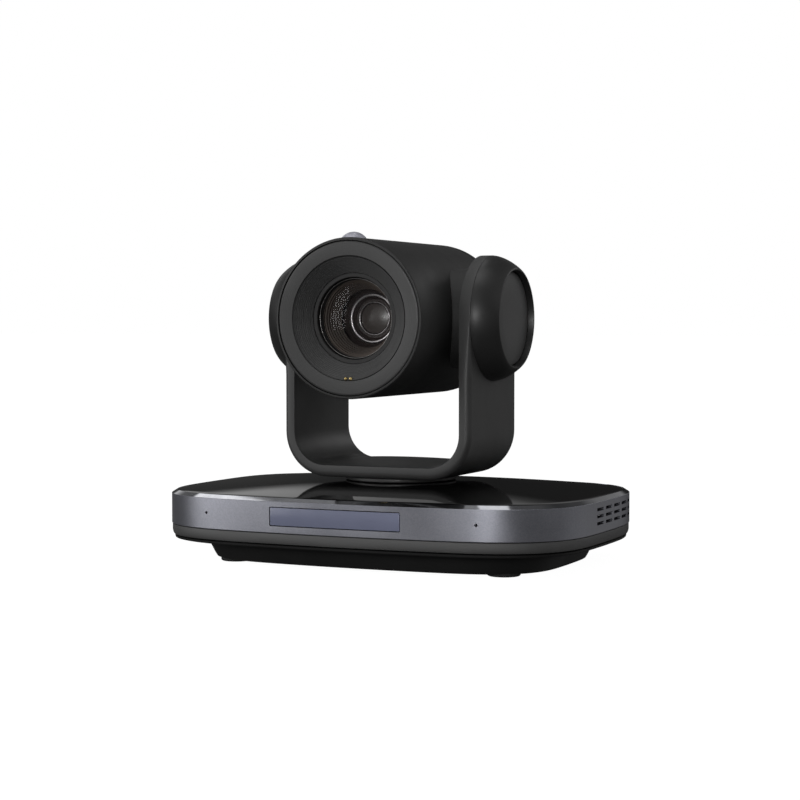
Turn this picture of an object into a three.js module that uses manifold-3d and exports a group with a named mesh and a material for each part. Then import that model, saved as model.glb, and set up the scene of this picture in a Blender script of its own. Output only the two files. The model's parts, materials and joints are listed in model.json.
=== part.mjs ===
// PTZ conference camera: a wide base, a yoke that pans on it and a round head that tilts in the yoke.
// Millimetres, +Z up, the front of the camera faces -Y, the pan axis is the line x = 0, y = 0.
// Every fixed or moving piece is one closed solid, 0.3 mm clear of the pieces it touches.
import * as THREE from "three";
import { mergeVertices } from "three/addons/utils/BufferGeometryUtils.js";
import Module from "manifold-3d";

const wasm = await Module();
wasm.setup();

// ---------------------------------------------------------------- driving dimensions
const GAP = 0.3; // clearance between touching pieces

// Base outline: a rounded rectangle with soft corners and bowed sides.
const HALF_WIDTH = 118;
const HALF_DEPTH = 83.3;
const CORNER_REACH = 66.5; // how far the corner curve runs along each side
const CORNER_POWER = 3.43; // 2 is a circular corner, more is squarer
const FRONT_BOW = 8.7; // how far the front falls back at its ends
const SIDE_BOW = 3.9;
const OUTLINE_SEGMENTS = 64;

// How finely round pieces are divided.
const ROUND_SEGMENTS = 28;
const HUB_SEGMENTS = 40;
const HEAD_SEGMENTS = 48;

// Base heights, from the floor up.
const FOOT_RADIUS = 8.5;
const FOOT_HEIGHT = 2.4;
const FOOT_PLACE = { x: 77, y: 44 };
const PAN_BOTTOM = 1.5; // underside of the base pan above the floor
const PAN_FLOOR_TOP = 4;
const LIP_BOTTOM = 12.7;
const LIP_TOP = 13.9;
const SKIRT_BOTTOM = 14.5;
const BAND_BOTTOM = 20.3;
const BAND_TOP = 36.5; // where the bright chamfer starts
const RIM_TOP = 38.2;
const CHAMFER_INSET = 2.7;
const BAND_WALL = 2.5;
const COVER_TOP = 43.1; // flat middle of the domed cover
const COVER_WALL = 2;
const COVER_FLAT = 0.4; // share of the outline that the flat middle takes
const DOME_POWER = 1.5;

// Band details.
const WINDOW = { width: 73.4, height: 10, z: 28.8 };
const MIC = { x: 75.8, z: 28.8, holeRadius: 0.8, radius: 2.4, length: 3.8, front: -74 };
const VENT = { length: 10.4, height: 1.6, pitchY: 13.6, pitchZ: 3.6, firstY: -13.1, firstZ: 24.6 };
const VENT_COLUMNS = 5;
const VENT_ROWS = 3;
const REAR_OPENING = { width: 120, bottom: 21.3, top: 35.5 };
const PANEL_FRONT = 78.9; // inner face of the rear panel
const PANEL_BACK = 80.5;

// Inside the base.
const CHASSIS = { bottom: 14.8, top: 16.3, inset: 9, hole: 9 };
const SHAFT = { outer: 12, inner: 9, bottom: 16.9 };
const BEARING = { outer: 19, bottom: 16.6, top: 23.6 };
const PAN_GEAR = { teeth: 48, tip: 34, bottom: 25, top: 29 };
const PAN_PINION = { teeth: 8, tip: 6 };
const PAN_MOTOR = { radius: 14, bottom: 8, top: 23.7, shaft: 2.4 };
const PAN_MOTOR_ANGLE = THREE.MathUtils.degToRad(135);
const MAIN_BOARD = { width: 144, front: -69.8, back: -19.8, bottom: 18 };
const IO_BOARD = { width: 116, front: 48.3, back: 77.8, bottom: 20 };
const BOARD_THICKNESS = 1.6;
const SOCKET_BOTTOM = 21.9;
const SCREW_PLACE = { x: 60, y: 42 };
const SCREW = { shank: 1.5, head: 2.9, headBottom: 1.7, headTop: 3.2, top: 14.5, boss: 5, bossTop: 9 };
const INSERT = { outer: 6, bore: 2.55, bottom: 1.6, top: 9.6, boss: 9 };

// Yoke.
const YOKE_BOTTOM = 45.6;
const YOKE_FLOOR = 51.3;
const YOKE_OUTER = 53.9; // half-width over the arms
const YOKE_INNER = 47.7; // half-width between the arms
const YOKE_HALF_DEPTH = 33.3;
const YOKE_CORNER = 24;
const COLLAR_RADIUS = 30;
const TILT_HEIGHT = 129.9;
const HUB = { big: 33.2, small: 26.2, end: 67, recess: 25.3, capFace: 64, ledge: 62 };
const PIVOT = { outer: 9.7, bore: 6, inner: 26.5, flange: 16, flangeEnd: 56.5 };
const TILT_GEAR = { teeth: 44, tip: 22, inner: 26.5, outer: 30 };
const TILT_PINION = { teeth: 12, tip: 6 };
const TILT_MOTOR = { radius: 11, inner: 0, outer: 26.2, shaft: 2 };

// Head, measured from the tilt axis; the lens looks along -Y.
const HEAD_RADIUS = 41.3;
const HEAD_WALL = 2.4;
const HEAD_FRONT = -66.2;
const SHELL_BACK = 42;
const HEAD_BACK = 55;
const BACK_ROUNDING = 8;
const BOSS = { radius: 26.5, end: 46.5, housing: 16.7 };
const TILT_BEARING = { outer: 14, inner: 10, start: 39.3, end: 45.8 };
const BEZEL = { outer: 39.6, inner: 31.9, back: -63 };
const FUNNEL = { mouth: 31.6, throat: 23.5, front: -66, back: -58.7 };
const BARREL = { outer: 23.2, inner: 18.6, front: -58.4, back: 8 };
const LENS_RING = { outer: 20.8, inner: 19, front: -56.4, back: -53.6 };
const FRONT_ELEMENT = { radius: 18.3, front: -53, back: -49 };
const ZOOM_GROUP = { radius: 18, front: -41, back: -33, ring: 13.7, lens: 9.9 };
const FOCUS_GROUP = { radius: 18, front: -14, back: -8, lens: 12 };
const SENSOR = { width: 34, front: 8.6, back: 10.2 };
const TALLY = { radius: 6.3, y: -58.5, height: 3 };
const STATUS = { x: 1.4, z: -30.8, radius: 0.6, front: -65.6, back: -62 };

// ---------------------------------------------------------------- finishes
function finish(color, roughness, metalness) {
  return () => new THREE.MeshStandardMaterial({ color, roughness, metalness });
}
const glossBlack = finish("#141414", 0.12, 0);
const satinBlack = finish("#262626", 0.45, 0);
const matteBlack = finish("#2e2e2e", 0.6, 0);
const deepBlack = finish("#151515", 0.7, 0);
const bandMetal = finish("#6d6e75", 0.35, 0.8);
const irPlastic = finish("#585b78", 0.15, 0);
const rubber = finish("#1a1a1a", 0.9, 0);
const steel = finish("#9a9ca0", 0.3, 1);
const brass = finish("#b08d4a", 0.3, 1);
const boardGreen = finish("#1d4a33", 0.5, 0);
const aluminium = finish("#b4b6ba", 0.4, 1);
const nylon = finish("#d8d5c8", 0.5, 0);
const opalWhite = finish("#cfcfd4", 0.3, 0);
const glass = finish("#3a3436", 0.05, 0);
const gold = finish("#a5936a", 0.35, 1);

// ---------------------------------------------------------------- solids
// A three.js geometry as a manifold-3d solid.
function solid(geometry) {
  const bare = geometry.clone();
  bare.deleteAttribute("normal");
  bare.deleteAttribute("uv");
  const merged = mergeVertices(bare, 1e-4);
  return new wasm.Manifold(
    new wasm.Mesh({
      numProp: 3,
      vertProperties: merged.attributes.position.array,
      triVerts: new Uint32Array(merged.index.array),
    }),
  );
}

// A manifold-3d solid as a three.js geometry with flat shading normals.
function geometryOf(body) {
  const made = body.getMesh();
  const indexed = new THREE.BufferGeometry();
  indexed.setAttribute("position", new THREE.BufferAttribute(made.vertProperties, 3));
  indexed.setIndex(new THREE.BufferAttribute(made.triVerts, 1));
  const flat = indexed.toNonIndexed();
  flat.computeVertexNormals();
  return flat;
}

function cut(body, ...tools) {
  return tools.reduce((left, tool) => left.subtract(tool), body);
}

function join(...bodies) {
  return bodies.reduce((sum, body) => sum.add(body));
}

// A named mesh in a group.
function piece(group, name, body, finishOf) {
  const mesh = new THREE.Mesh(geometryOf(body), finishOf());
  mesh.name = name;
  group.add(mesh);
  return mesh;
}

// A box by its size, its middle in x and y, and its lowest z.
function box(width, depth, height, x, y, bottom) {
  return solid(new THREE.BoxGeometry(width, depth, height).translate(x, y, bottom + height / 2));
}

// A profile runs up its outer side, so that a lathe made of it faces outwards.
function runsUp(profile) {
  const twiceArea = profile.reduce((sum, [r, z], i) => {
    const [nextR, nextZ] = profile[(i + 1) % profile.length];
    return sum + r * nextZ - nextR * z;
  }, 0);
  return twiceArea > 0 ? profile : [...profile].reverse();
}

// A closed profile of [radius, height] points turned about +Z.
function turned(profile, segments = ROUND_SEGMENTS) {
  const points = runsUp(profile).map(([r, z]) => new THREE.Vector2(r, z));
  const onAxis = points[0].x === 0 && points.at(-1).x === 0;
  if (!onAxis) points.push(points[0].clone());
  return new THREE.LatheGeometry(points, segments).rotateX(Math.PI / 2);
}

// The same, turned about X (side 1 points to +X, side -1 to -X) or about Y.
function turnedAlongX(profile, side = 1, segments = ROUND_SEGMENTS) {
  return solid(turned(profile, segments).rotateY((side * Math.PI) / 2));
}

function turnedAlongY(profile, segments = ROUND_SEGMENTS) {
  return solid(turned(profile, segments).rotateX(-Math.PI / 2));
}

function ringProfile(inner, outer, low, high) {
  return [[inner, low], [outer, low], [outer, high], [inner, high]];
}

function discProfile(radius, low, high) {
  return [[0, low], [radius, low], [radius, high], [0, high]];
}

// Cylinders along each axis, for pins and for holes.
function postZ(radius, low, high, x = 0, y = 0, segments = 20) {
  return solid(turned(discProfile(radius, low, high), segments).translate(x, y, 0));
}

function postY(radius, low, high, x = 0, z = 0, segments = 16) {
  return turnedAlongY(discProfile(radius, low, high), segments).translate([x, 0, z]);
}

// A spur gear along +Z: its teeth are trapezia between the root and the tip circle.
function spurGear(teeth, tip, bore, low, high) {
  const root = tip - (2.2 * tip) / (teeth / 2 + 1);
  const shape = new THREE.Shape();
  const step = (2 * Math.PI) / teeth;
  const corners = [[root, 0], [root, 0.28], [tip, 0.42], [tip, 0.86]];
  for (let tooth = 0; tooth < teeth; tooth++) {
    for (const [radius, share] of corners) {
      const angle = (tooth + share) * step;
      const point = [radius * Math.cos(angle), radius * Math.sin(angle)];
      if (shape.curves.length || shape.currentPoint.lengthSq()) shape.lineTo(...point);
      else shape.moveTo(...point);
    }
  }
  if (bore) {
    const hole = new THREE.Path();
    hole.absarc(0, 0, bore, 0, 2 * Math.PI, true);
    shape.holes.push(hole);
  }
  const settings = { depth: high - low, bevelEnabled: false, curveSegments: 12 };
  return new THREE.ExtrudeGeometry(shape, settings).translate(0, 0, low);
}

// ---------------------------------------------------------------- base outline
// One quarter of the outline, from the middle of a long side to the middle of a short side.
function outlineQuarter(steps) {
  const quarter = [];
  const flatX = HALF_WIDTH - CORNER_REACH;
  const flatY = HALF_DEPTH - CORNER_REACH;
  for (let i = 0; i < steps; i++) quarter.push([(flatX * i) / steps, HALF_DEPTH]);
  for (let i = 0; i <= steps; i++) {
    const turn = (Math.PI / 2) * (i / steps);
    const alongX = Math.sin(turn) ** (2 / CORNER_POWER);
    const alongY = Math.cos(turn) ** (2 / CORNER_POWER);
    quarter.push([flatX + CORNER_REACH * alongX, flatY + CORNER_REACH * alongY]);
  }
  quarter.push([HALF_WIDTH, 0]);
  return quarter.map(([x, y]) => [
    x - SIDE_BOW * (y / HALF_DEPTH) ** 2 * (x / HALF_WIDTH),
    y - FRONT_BOW * (x / HALF_WIDTH) ** 2 * (y / HALF_DEPTH),
  ]);
}

// The whole outline as evenly spaced points, starting at the front and running anticlockwise.
function outlinePoints(segments) {
  const quarter = new THREE.CatmullRomCurve3(
    outlineQuarter(200).map(([x, y]) => new THREE.Vector3(x, y, 0)), false, "catmullrom", 0,
  );
  quarter.arcLengthDivisions = 2000;
  const perQuarter = segments / 4;
  const walk = quarter.getSpacedPoints(perQuarter);
  const ring = [];
  for (let i = 0; i < perQuarter; i++) ring.push([walk[i].x, -walk[i].y]);
  for (let i = perQuarter; i > 0; i--) ring.push([walk[i].x, walk[i].y]);
  for (let i = 0; i < perQuarter; i++) ring.push([-walk[i].x, walk[i].y]);
  for (let i = perQuarter; i > 0; i--) ring.push([-walk[i].x, -walk[i].y]);
  return ring;
}
const OUTLINE = outlinePoints(OUTLINE_SEGMENTS);

// A lathe whose circle is pulled out to the base outline. Each profile point is
// { inset, z } with an optional share that shrinks the ring towards the middle, or { axis: z }.
function lofted(profile) {
  const rings = profile.map((point) =>
    "axis" in point ? { share: 0, inset: 0, z: point.axis } : { share: 1, ...point },
  );
  const onAxis = rings[0].share === 0;
  if (!onAxis) rings.push(rings[0]);
  const stand = rings.map(({ share, inset, z }) => new THREE.Vector2(share * (HALF_WIDTH - inset), z));
  const lathe = new THREE.LatheGeometry(stand, OUTLINE_SEGMENTS).rotateX(Math.PI / 2);
  const position = lathe.attributes.position;
  for (let i = 0; i <= OUTLINE_SEGMENTS; i++) {
    const [x, y] = OUTLINE[i % OUTLINE_SEGMENTS];
    rings.forEach(({ share, inset, z }, j) => {
      const acrossX = (share * (HALF_WIDTH - inset)) / HALF_WIDTH;
      const acrossY = (share * (HALF_DEPTH - inset)) / HALF_DEPTH;
      position.setXYZ(i * rings.length + j, x * acrossX, y * acrossY, z);
    });
  }
  return solid(lathe);
}

// ---------------------------------------------------------------- base
function fourPlaces({ x, y }) {
  return [["front_left", -x, -y], ["front_right", x, -y], ["rear_left", -x, y], ["rear_right", x, y]];
}

function buildBasePan() {
  const tray = lofted([
    { axis: PAN_BOTTOM },
    { inset: 21.5, z: PAN_BOTTOM },
    { inset: 18.6, z: 7 },
    { inset: 16.5, z: 10.6 },
    { inset: 5, z: 11.9 },
    { inset: 1.6, z: LIP_BOTTOM },
    { inset: 1.3, z: LIP_TOP },
    { inset: 4.2, z: LIP_TOP },
    { inset: 18.3, z: 12.6 },
    { inset: 20.8, z: 7.4 },
    { inset: 23.2, z: PAN_FLOOR_TOP },
    { axis: PAN_FLOOR_TOP },
  ]);
  const bosses = fourPlaces(SCREW_PLACE).map(([, x, y]) =>
    postZ(SCREW.boss, PAN_BOTTOM + 1, SCREW.bossTop, x, y),
  );
  const insertBoss = postZ(INSERT.boss, PAN_BOTTOM + 1, INSERT.top - 1);
  const screwHoles = fourPlaces(SCREW_PLACE).flatMap(([, x, y]) => [
    postZ(SCREW.shank + GAP, 0, SCREW.bossTop + 1, x, y),
    postZ(SCREW.head + GAP, 0, SCREW.headTop + GAP, x, y),
  ]);
  const footPockets = fourPlaces(FOOT_PLACE).map(([, x, y]) =>
    postZ(FOOT_RADIUS + GAP, 0, FOOT_HEIGHT + GAP, x, y),
  );
  const insertHole = postZ(INSERT.outer + GAP, 0, INSERT.top + 1);
  return cut(join(tray, ...bosses, insertBoss), ...screwHoles, ...footPockets, insertHole);
}

function buildSkirt() {
  const top = BAND_BOTTOM - GAP;
  return lofted([
    { inset: 4, z: top },
    { inset: 4, z: SKIRT_BOTTOM },
    { inset: 0.9, z: SKIRT_BOTTOM },
    { inset: 0.3, z: 16.5 },
    { inset: 0.3, z: top },
  ]);
}

function buildBand() {
  const wall = lofted([
    { inset: BAND_WALL, z: BAND_BOTTOM },
    { inset: 0, z: BAND_BOTTOM },
    { inset: 0, z: BAND_TOP },
    { inset: CHAMFER_INSET, z: RIM_TOP },
    { inset: CHAMFER_INSET, z: 35.9 },
    { inset: BAND_WALL, z: 35.3 },
  ]);
  const windowHole = box(
    WINDOW.width, 20, WINDOW.height, 0, -HALF_DEPTH, WINDOW.z - WINDOW.height / 2,
  );
  const micHoles = [-1, 1].map((side) =>
    postY(MIC.holeRadius, -HALF_DEPTH - 2, MIC.front, side * MIC.x, MIC.z, 12),
  );
  const vents = [];
  for (let column = 0; column < VENT_COLUMNS; column++) {
    for (let row = 0; row < VENT_ROWS; row++) {
      const y = VENT.firstY + column * VENT.pitchY;
      const bottom = VENT.firstZ + row * VENT.pitchZ - VENT.height / 2;
      vents.push(box(20, VENT.length, VENT.height, HALF_WIDTH, y, bottom));
      vents.push(box(20, VENT.length, VENT.height, -HALF_WIDTH, y, bottom));
    }
  }
  const { width, bottom, top } = REAR_OPENING;
  const rearHole = box(width, 20, top - bottom, 0, HALF_DEPTH, bottom);
  return cut(wall, windowHole, ...micHoles, ...vents, rearHole);
}

function domeHeight(share) {
  const rise = (1 - Math.max(share, COVER_FLAT) ** DOME_POWER) / (1 - COVER_FLAT ** DOME_POWER);
  return RIM_TOP + (COVER_TOP - RIM_TOP) * rise;
}

function buildTopCover() {
  const inset = CHAMFER_INSET + GAP;
  const shares = [1, 0.93, 0.84, 0.74, 0.64, 0.54, 0.46, COVER_FLAT];
  const outside = shares.map((share) => ({ inset, share, z: domeHeight(share) }));
  const inside = [COVER_FLAT, 0.6, 0.8, 0.98].map((share) => ({
    inset, share, z: domeHeight(share) - COVER_WALL,
  }));
  const shell = lofted([
    { axis: COVER_TOP - COVER_WALL },
    ...inside,
    { inset, z: RIM_TOP - COVER_WALL },
    ...outside,
    { axis: COVER_TOP },
  ]);
  return cut(shell, postZ(SHAFT.outer + 2 * GAP, 30, 50));
}

function buildWindow() {
  const strip = lofted([
    { inset: 2, z: BAND_BOTTOM },
    { inset: 0.15, z: BAND_BOTTOM },
    { inset: 0.15, z: BAND_TOP },
    { inset: 2, z: BAND_TOP },
  ]);
  const height = WINDOW.height - 2 * GAP;
  const frame = box(WINDOW.width - 2 * GAP, 20, height, 0, -HALF_DEPTH, WINDOW.z - height / 2);
  return strip.intersect(frame);
}

function buildReceiver() {
  const eye = solid(new THREE.SphereGeometry(3, 14, 8).translate(0, -76.4, 28.4));
  return join(box(8, 4, 9, 0, -74.8, 23.9), eye);
}

function buildMainBoard() {
  const { width, front, back, bottom } = MAIN_BOARD;
  const board = box(width, back - front, BOARD_THICKNESS, 0, (front + back) / 2, bottom);
  const top = bottom + BOARD_THICKNESS - 0.1;
  const chips = [
    box(16, 16, 1.6, 24, -46, top),
    box(10, 14, 1.4, 48, -58, top),
    box(12, 8, 5, -58, -34, top),
    box(6, 6, 4, 58, -34, top),
  ];
  return join(board, ...chips);
}

function buildHeatSink() {
  const size = 30;
  const fins = [];
  const x = -26;
  const y = -54;
  const bottom = MAIN_BOARD.bottom + BOARD_THICKNESS + GAP;
  for (let fin = 0; fin < 6; fin++) fins.push(box(1.4, size, 9, x - 14 + fin * 5.6, y, bottom + 1));
  return join(box(size, size, 2.4, x, y, bottom), ...fins);
}

function buildChassisPlate() {
  const { bottom, top, inset, hole } = CHASSIS;
  const plate = lofted([
    { axis: bottom },
    { inset, z: bottom },
    { inset, z: top },
    { axis: top },
  ]);
  const motor = panMotorPlace();
  return cut(
    plate,
    postZ(hole, 10, 20),
    postZ(PAN_MOTOR.radius + GAP, 10, 20, motor.x, motor.y),
  );
}

function panMotorPlace() {
  const reach = PAN_GEAR.tip + PAN_PINION.tip + GAP;
  return { x: reach * Math.cos(PAN_MOTOR_ANGLE), y: reach * Math.sin(PAN_MOTOR_ANGLE) };
}

function buildPanMotor() {
  const { x, y } = panMotorPlace();
  return postZ(PAN_MOTOR.radius, PAN_MOTOR.bottom, PAN_MOTOR.top, x, y);
}

function buildPanPinion() {
  const { tip, teeth } = PAN_PINION;
  const stem = postZ(PAN_MOTOR.shaft, PAN_MOTOR.top + GAP, PAN_GEAR.bottom + 1);
  return join(solid(spurGear(teeth, tip, 0, PAN_GEAR.bottom, PAN_GEAR.top)), stem);
}

function buildScrew() {
  const { shank, head, headBottom, headTop, top } = SCREW;
  const body = solid(
    turned([[0, headBottom], [head, headBottom], [head, headTop], [shank, headTop], [shank, top], [0, top]], 14),
  );
  const slot = box(4, 0.7, 0.8, 0, 0, headBottom - 0.1);
  const crossSlot = box(0.7, 4, 0.8, 0, 0, headBottom - 0.1);
  return cut(body, slot, crossSlot);
}

function buildInsert() {
  return solid(turned(ringProfile(INSERT.bore, INSERT.outer, INSERT.bottom, INSERT.top), 20));
}

// ---------------------------------------------------------------- rear panel and sockets
// Each socket is a box behind the panel, open to the rear; x is its middle.
const SOCKETS = {
  dc_jack: { x: -50, width: 10, height: 11, depth: 12 },
  lan_port: { x: -13, width: 15.6, height: 12.6, depth: 15 },
  hdmi_port: { x: 8, width: 15.2, height: 6, depth: 11 },
  usb_port: { x: 28, width: 14, height: 7.2, depth: 13 },
  serial_port: { x: 47, width: 12, height: 11.6, depth: 11 },
};
const SWITCH = { x: -33, z: 28.4, width: 12.4, height: 8.4, pivotY: 76.7, depth: 7 };
const SWITCH_REST_TILT = THREE.MathUtils.degToRad(-6);
const SWITCH_CLEARANCE = 0.8;

function socketBody({ x, width, height, depth }, margin = 0) {
  return box(
    width + 2 * margin, depth, height + 2 * margin, x, PANEL_BACK - depth / 2, SOCKET_BOTTOM - margin,
  );
}

// A round cavity with a standing core: the barrel of a DC jack, the shield ring of a serial socket.
function roundCavity({ x, height }, outer, core, deep) {
  const z = SOCKET_BOTTOM + height / 2;
  const profile = ringProfile(core, outer, PANEL_BACK - deep, PANEL_BACK + 1);
  return turnedAlongY(profile).translate([x, 0, z]);
}

// A rectangular cavity with a contact tongue.
function slotCavity({ x, height }, width, opening, deep, tongue) {
  const middle = SOCKET_BOTTOM + height / 2;
  const y = PANEL_BACK - deep / 2 + 0.5;
  const hollow = box(width, deep + 1, opening, x, y, middle - opening / 2);
  if (!tongue) return hollow;
  const blade = box(width - 2, deep - 1, tongue, x, y - 1.5, middle - tongue / 2);
  return cut(hollow, blade);
}

function buildSockets(group) {
  const { dc_jack, lan_port, hdmi_port, usb_port, serial_port } = SOCKETS;
  const hollows = {
    dc_jack: roundCavity(dc_jack, 3.2, 1.1, 9),
    lan_port: slotCavity(lan_port, 11.8, 8.4, 12, 0),
    hdmi_port: slotCavity(hdmi_port, 14, 4.6, 8, 1.4),
    usb_port: slotCavity(usb_port, 12.6, 5.2, 10, 1.9),
    serial_port: roundCavity(serial_port, 4.6, 3.3, 5),
  };
  const finishes = {
    dc_jack: deepBlack, lan_port: steel, hdmi_port: steel, usb_port: steel, serial_port: deepBlack,
  };
  for (const [name, socket] of Object.entries(SOCKETS)) {
    piece(group, name, cut(socketBody(socket), hollows[name]), finishes[name]);
  }
}

function buildRearPanel() {
  const { width, bottom, top } = REAR_OPENING;
  const plate = box(
    width - 2 * GAP, PANEL_BACK - PANEL_FRONT, top - bottom - 2 * GAP,
    0, (PANEL_FRONT + PANEL_BACK) / 2, bottom + GAP,
  );
  const socketHoles = Object.values(SOCKETS).map((socket) => socketBody(socket, GAP));
  const switchHole = box(
    SWITCH.width + 2 * SWITCH_CLEARANCE, 10, SWITCH.height + 2 * SWITCH_CLEARANCE,
    SWITCH.x, PANEL_BACK - 1, SWITCH.z - SWITCH.height / 2 - SWITCH_CLEARANCE,
  );
  return cut(plate, ...socketHoles, switchHole);
}

function buildIoBoard() {
  const { width, front, back, bottom } = IO_BOARD;
  return box(width, back - front, BOARD_THICKNESS, 0, (front + back) / 2, bottom);
}

function buildSwitch() {
  const { width, height, depth } = SWITCH;
  return box(width, depth, height, 0, 0, -height / 2);
}

// ---------------------------------------------------------------- yoke
// The U seen from the front: straight arms, a flat floor and two big rounded corners.
function yokeProfile(halfWidth, bottom, corner, top) {
  const shape = new THREE.Shape();
  shape.moveTo(halfWidth, top);
  shape.lineTo(-halfWidth, top);
  shape.lineTo(-halfWidth, bottom + corner);
  shape.absarc(-halfWidth + corner, bottom + corner, corner, Math.PI, 1.5 * Math.PI, false);
  shape.absarc(halfWidth - corner, bottom + corner, corner, 1.5 * Math.PI, 2 * Math.PI, false);
  return shape;
}

// A shape drawn in x and z, with its thickness along Y.
function slabAlongY(shape, halfDepth) {
  const settings = { depth: 2 * halfDepth, bevelEnabled: false, curveSegments: 9 };
  return solid(new THREE.ExtrudeGeometry(shape, settings).rotateX(Math.PI / 2).translate(0, halfDepth, 0));
}

function buildYokeFrame() {
  const top = TILT_HEIGHT + YOKE_HALF_DEPTH;
  const outer = slabAlongY(yokeProfile(YOKE_OUTER, YOKE_BOTTOM, YOKE_CORNER, top), YOKE_HALF_DEPTH);
  const inner = slabAlongY(
    yokeProfile(YOKE_INNER, YOKE_FLOOR, YOKE_CORNER - (YOKE_OUTER - YOKE_INNER), top + 1),
    YOKE_HALF_DEPTH + 1,
  );
  const side = new THREE.Shape();
  side.moveTo(-YOKE_HALF_DEPTH, 0);
  side.lineTo(YOKE_HALF_DEPTH, 0);
  side.absarc(0, TILT_HEIGHT, YOKE_HALF_DEPTH, 0, Math.PI, false);
  const width = 2 * YOKE_OUTER + 10;
  const settings = { depth: width, bevelEnabled: false, curveSegments: 20 };
  // drawn in y and z, thickness along X
  const sideSlab = new THREE.ExtrudeGeometry(side, settings)
    .rotateX(Math.PI / 2)
    .rotateZ(Math.PI / 2)
    .translate(-width / 2, 0, 0);
  const pivotHole = turnedAlongX(discProfile(PIVOT.outer + GAP, -80, 80)).translate([0, 0, TILT_HEIGHT]);
  return cut(outer, inner, pivotHole).intersect(solid(sideSlab));
}

function buildCollar() {
  const low = COVER_TOP + GAP;
  const high = YOKE_BOTTOM - GAP;
  return solid(
    turned([
      [SHAFT.outer + GAP, low],
      [COLLAR_RADIUS - 0.4, low],
      [COLLAR_RADIUS, low + 0.4],
      [COLLAR_RADIUS, high],
      [SHAFT.outer + GAP, high],
    ]),
  );
}

function buildShaft() {
  return solid(turned(ringProfile(SHAFT.inner, SHAFT.outer, SHAFT.bottom, YOKE_BOTTOM - GAP)));
}

function buildPanGear() {
  return solid(spurGear(PAN_GEAR.teeth, PAN_GEAR.tip, SHAFT.outer + GAP, PAN_GEAR.bottom, PAN_GEAR.top));
}

function hubCoverProfile() {
  const start = YOKE_OUTER + GAP;
  const { big, small, end, recess, ledge } = HUB;
  return [
    [big, start],
    [32.2, 58],
    [30.2, 62],
    [small, end],
    [recess, end],
    [recess - 0.3, ledge],
    [22, ledge],
    [22, ledge - 1.8],
    [27.6, ledge - 1.8],
    [29.6, 57.2],
    [30.8, start],
  ];
}

function hubCapProfile() {
  const radius = HUB.recess - 0.3 - GAP;
  const { ledge, capFace } = HUB;
  return [[0, ledge + GAP], [radius, ledge + GAP], [radius, capFace - 0.5], [radius - 0.5, capFace], [0, capFace]];
}

function pivotProfile() {
  const { outer, bore, inner, flange, flangeEnd } = PIVOT;
  const face = YOKE_OUTER + GAP;
  return [[bore, inner], [outer, inner], [outer, face], [flange, face], [flange, flangeEnd], [bore, flangeEnd]];
}

function buildTiltGear() {
  const { teeth, tip, inner, outer } = TILT_GEAR;
  return solid(spurGear(teeth, tip, PIVOT.outer + GAP, inner, outer).rotateY(Math.PI / 2));
}

// ---------------------------------------------------------------- head
function buildHeadShell() {
  const lip = BEZEL.outer + GAP;
  const inner = HEAD_RADIUS - HEAD_WALL;
  const outside = turnedAlongY(discProfile(HEAD_RADIUS, HEAD_FRONT, SHELL_BACK), HEAD_SEGMENTS);
  const sideBosses = turnedAlongX(discProfile(BOSS.radius, -BOSS.end, BOSS.end));
  const hollow = turnedAlongY(
    [[0, HEAD_FRONT - 1], [lip, HEAD_FRONT - 1], [lip, BEZEL.back], [inner, BEZEL.back], [inner, 60], [0, 60]],
    HEAD_SEGMENTS,
  );
  const bearingHole = turnedAlongX(discProfile(TILT_BEARING.outer + GAP, -60, 60));
  const coring = ringProfile(BOSS.housing, BOSS.radius - HEAD_WALL, 0, BOSS.end - HEAD_WALL);
  const bossHollows = [1, -1].map((side) => turnedAlongX(coring, side));
  const domeHole = postZ(TALLY.radius + GAP, 20, 60, 0, TALLY.y);
  return cut(join(outside, sideBosses), hollow, bearingHole, ...bossHollows, domeHole);
}

function buildRearCover() {
  const front = SHELL_BACK + GAP;
  const inner = HEAD_RADIUS - HEAD_WALL;
  const outside = [[HEAD_RADIUS, front]];
  for (let step = 0; step <= 4; step++) {
    const turn = (Math.PI / 2) * (step / 4);
    const radius = HEAD_RADIUS - BACK_ROUNDING * (1 - Math.cos(turn));
    outside.push([radius, HEAD_BACK - BACK_ROUNDING * (1 - Math.sin(turn))]);
  }
  return turnedAlongY(
    [
      ...outside,
      [0, HEAD_BACK],
      [0, HEAD_BACK - HEAD_WALL],
      [inner - BACK_ROUNDING + 1, HEAD_BACK - HEAD_WALL],
      [inner, HEAD_BACK - BACK_ROUNDING],
      [inner, front],
    ],
    HEAD_SEGMENTS,
  );
}

function buildBezel() {
  return turnedAlongY(ringProfile(BEZEL.inner, BEZEL.outer, HEAD_FRONT, BEZEL.back - GAP), HEAD_SEGMENTS);
}

function buildStepRing() {
  const { mouth, throat, front, back } = FUNNEL;
  const body = turnedAlongY(
    [[mouth, front], [throat, back], [throat, back + 2], [mouth, back + 2]], HEAD_SEGMENTS,
  );
  const holes = [-1, 1].map((side) =>
    postY(STATUS.radius + GAP, HEAD_FRONT - 1, 0, side * STATUS.x, STATUS.z, 12),
  );
  return cut(body, ...holes);
}

function buildBarrel() {
  const { outer, inner, front, back } = BARREL;
  return turnedAlongY([
    [LENS_RING.outer + GAP, front],
    [outer, front],
    [outer, back],
    [14, back],
    [14, back - 2],
    [inner, back - 2],
    [inner, LENS_RING.back + GAP],
    [LENS_RING.outer + GAP, LENS_RING.back + GAP],
  ]);
}

function buildLensRing() {
  return turnedAlongY(ringProfile(LENS_RING.inner, LENS_RING.outer, LENS_RING.front, LENS_RING.back));
}

function buildFrontElement() {
  const { radius, front, back } = FRONT_ELEMENT;
  return turnedAlongY([
    [0, front - 1.6],
    [radius * 0.5, front - 1.2],
    [radius, front + 0.4],
    [radius, back],
    [0, back],
  ]);
}

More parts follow.
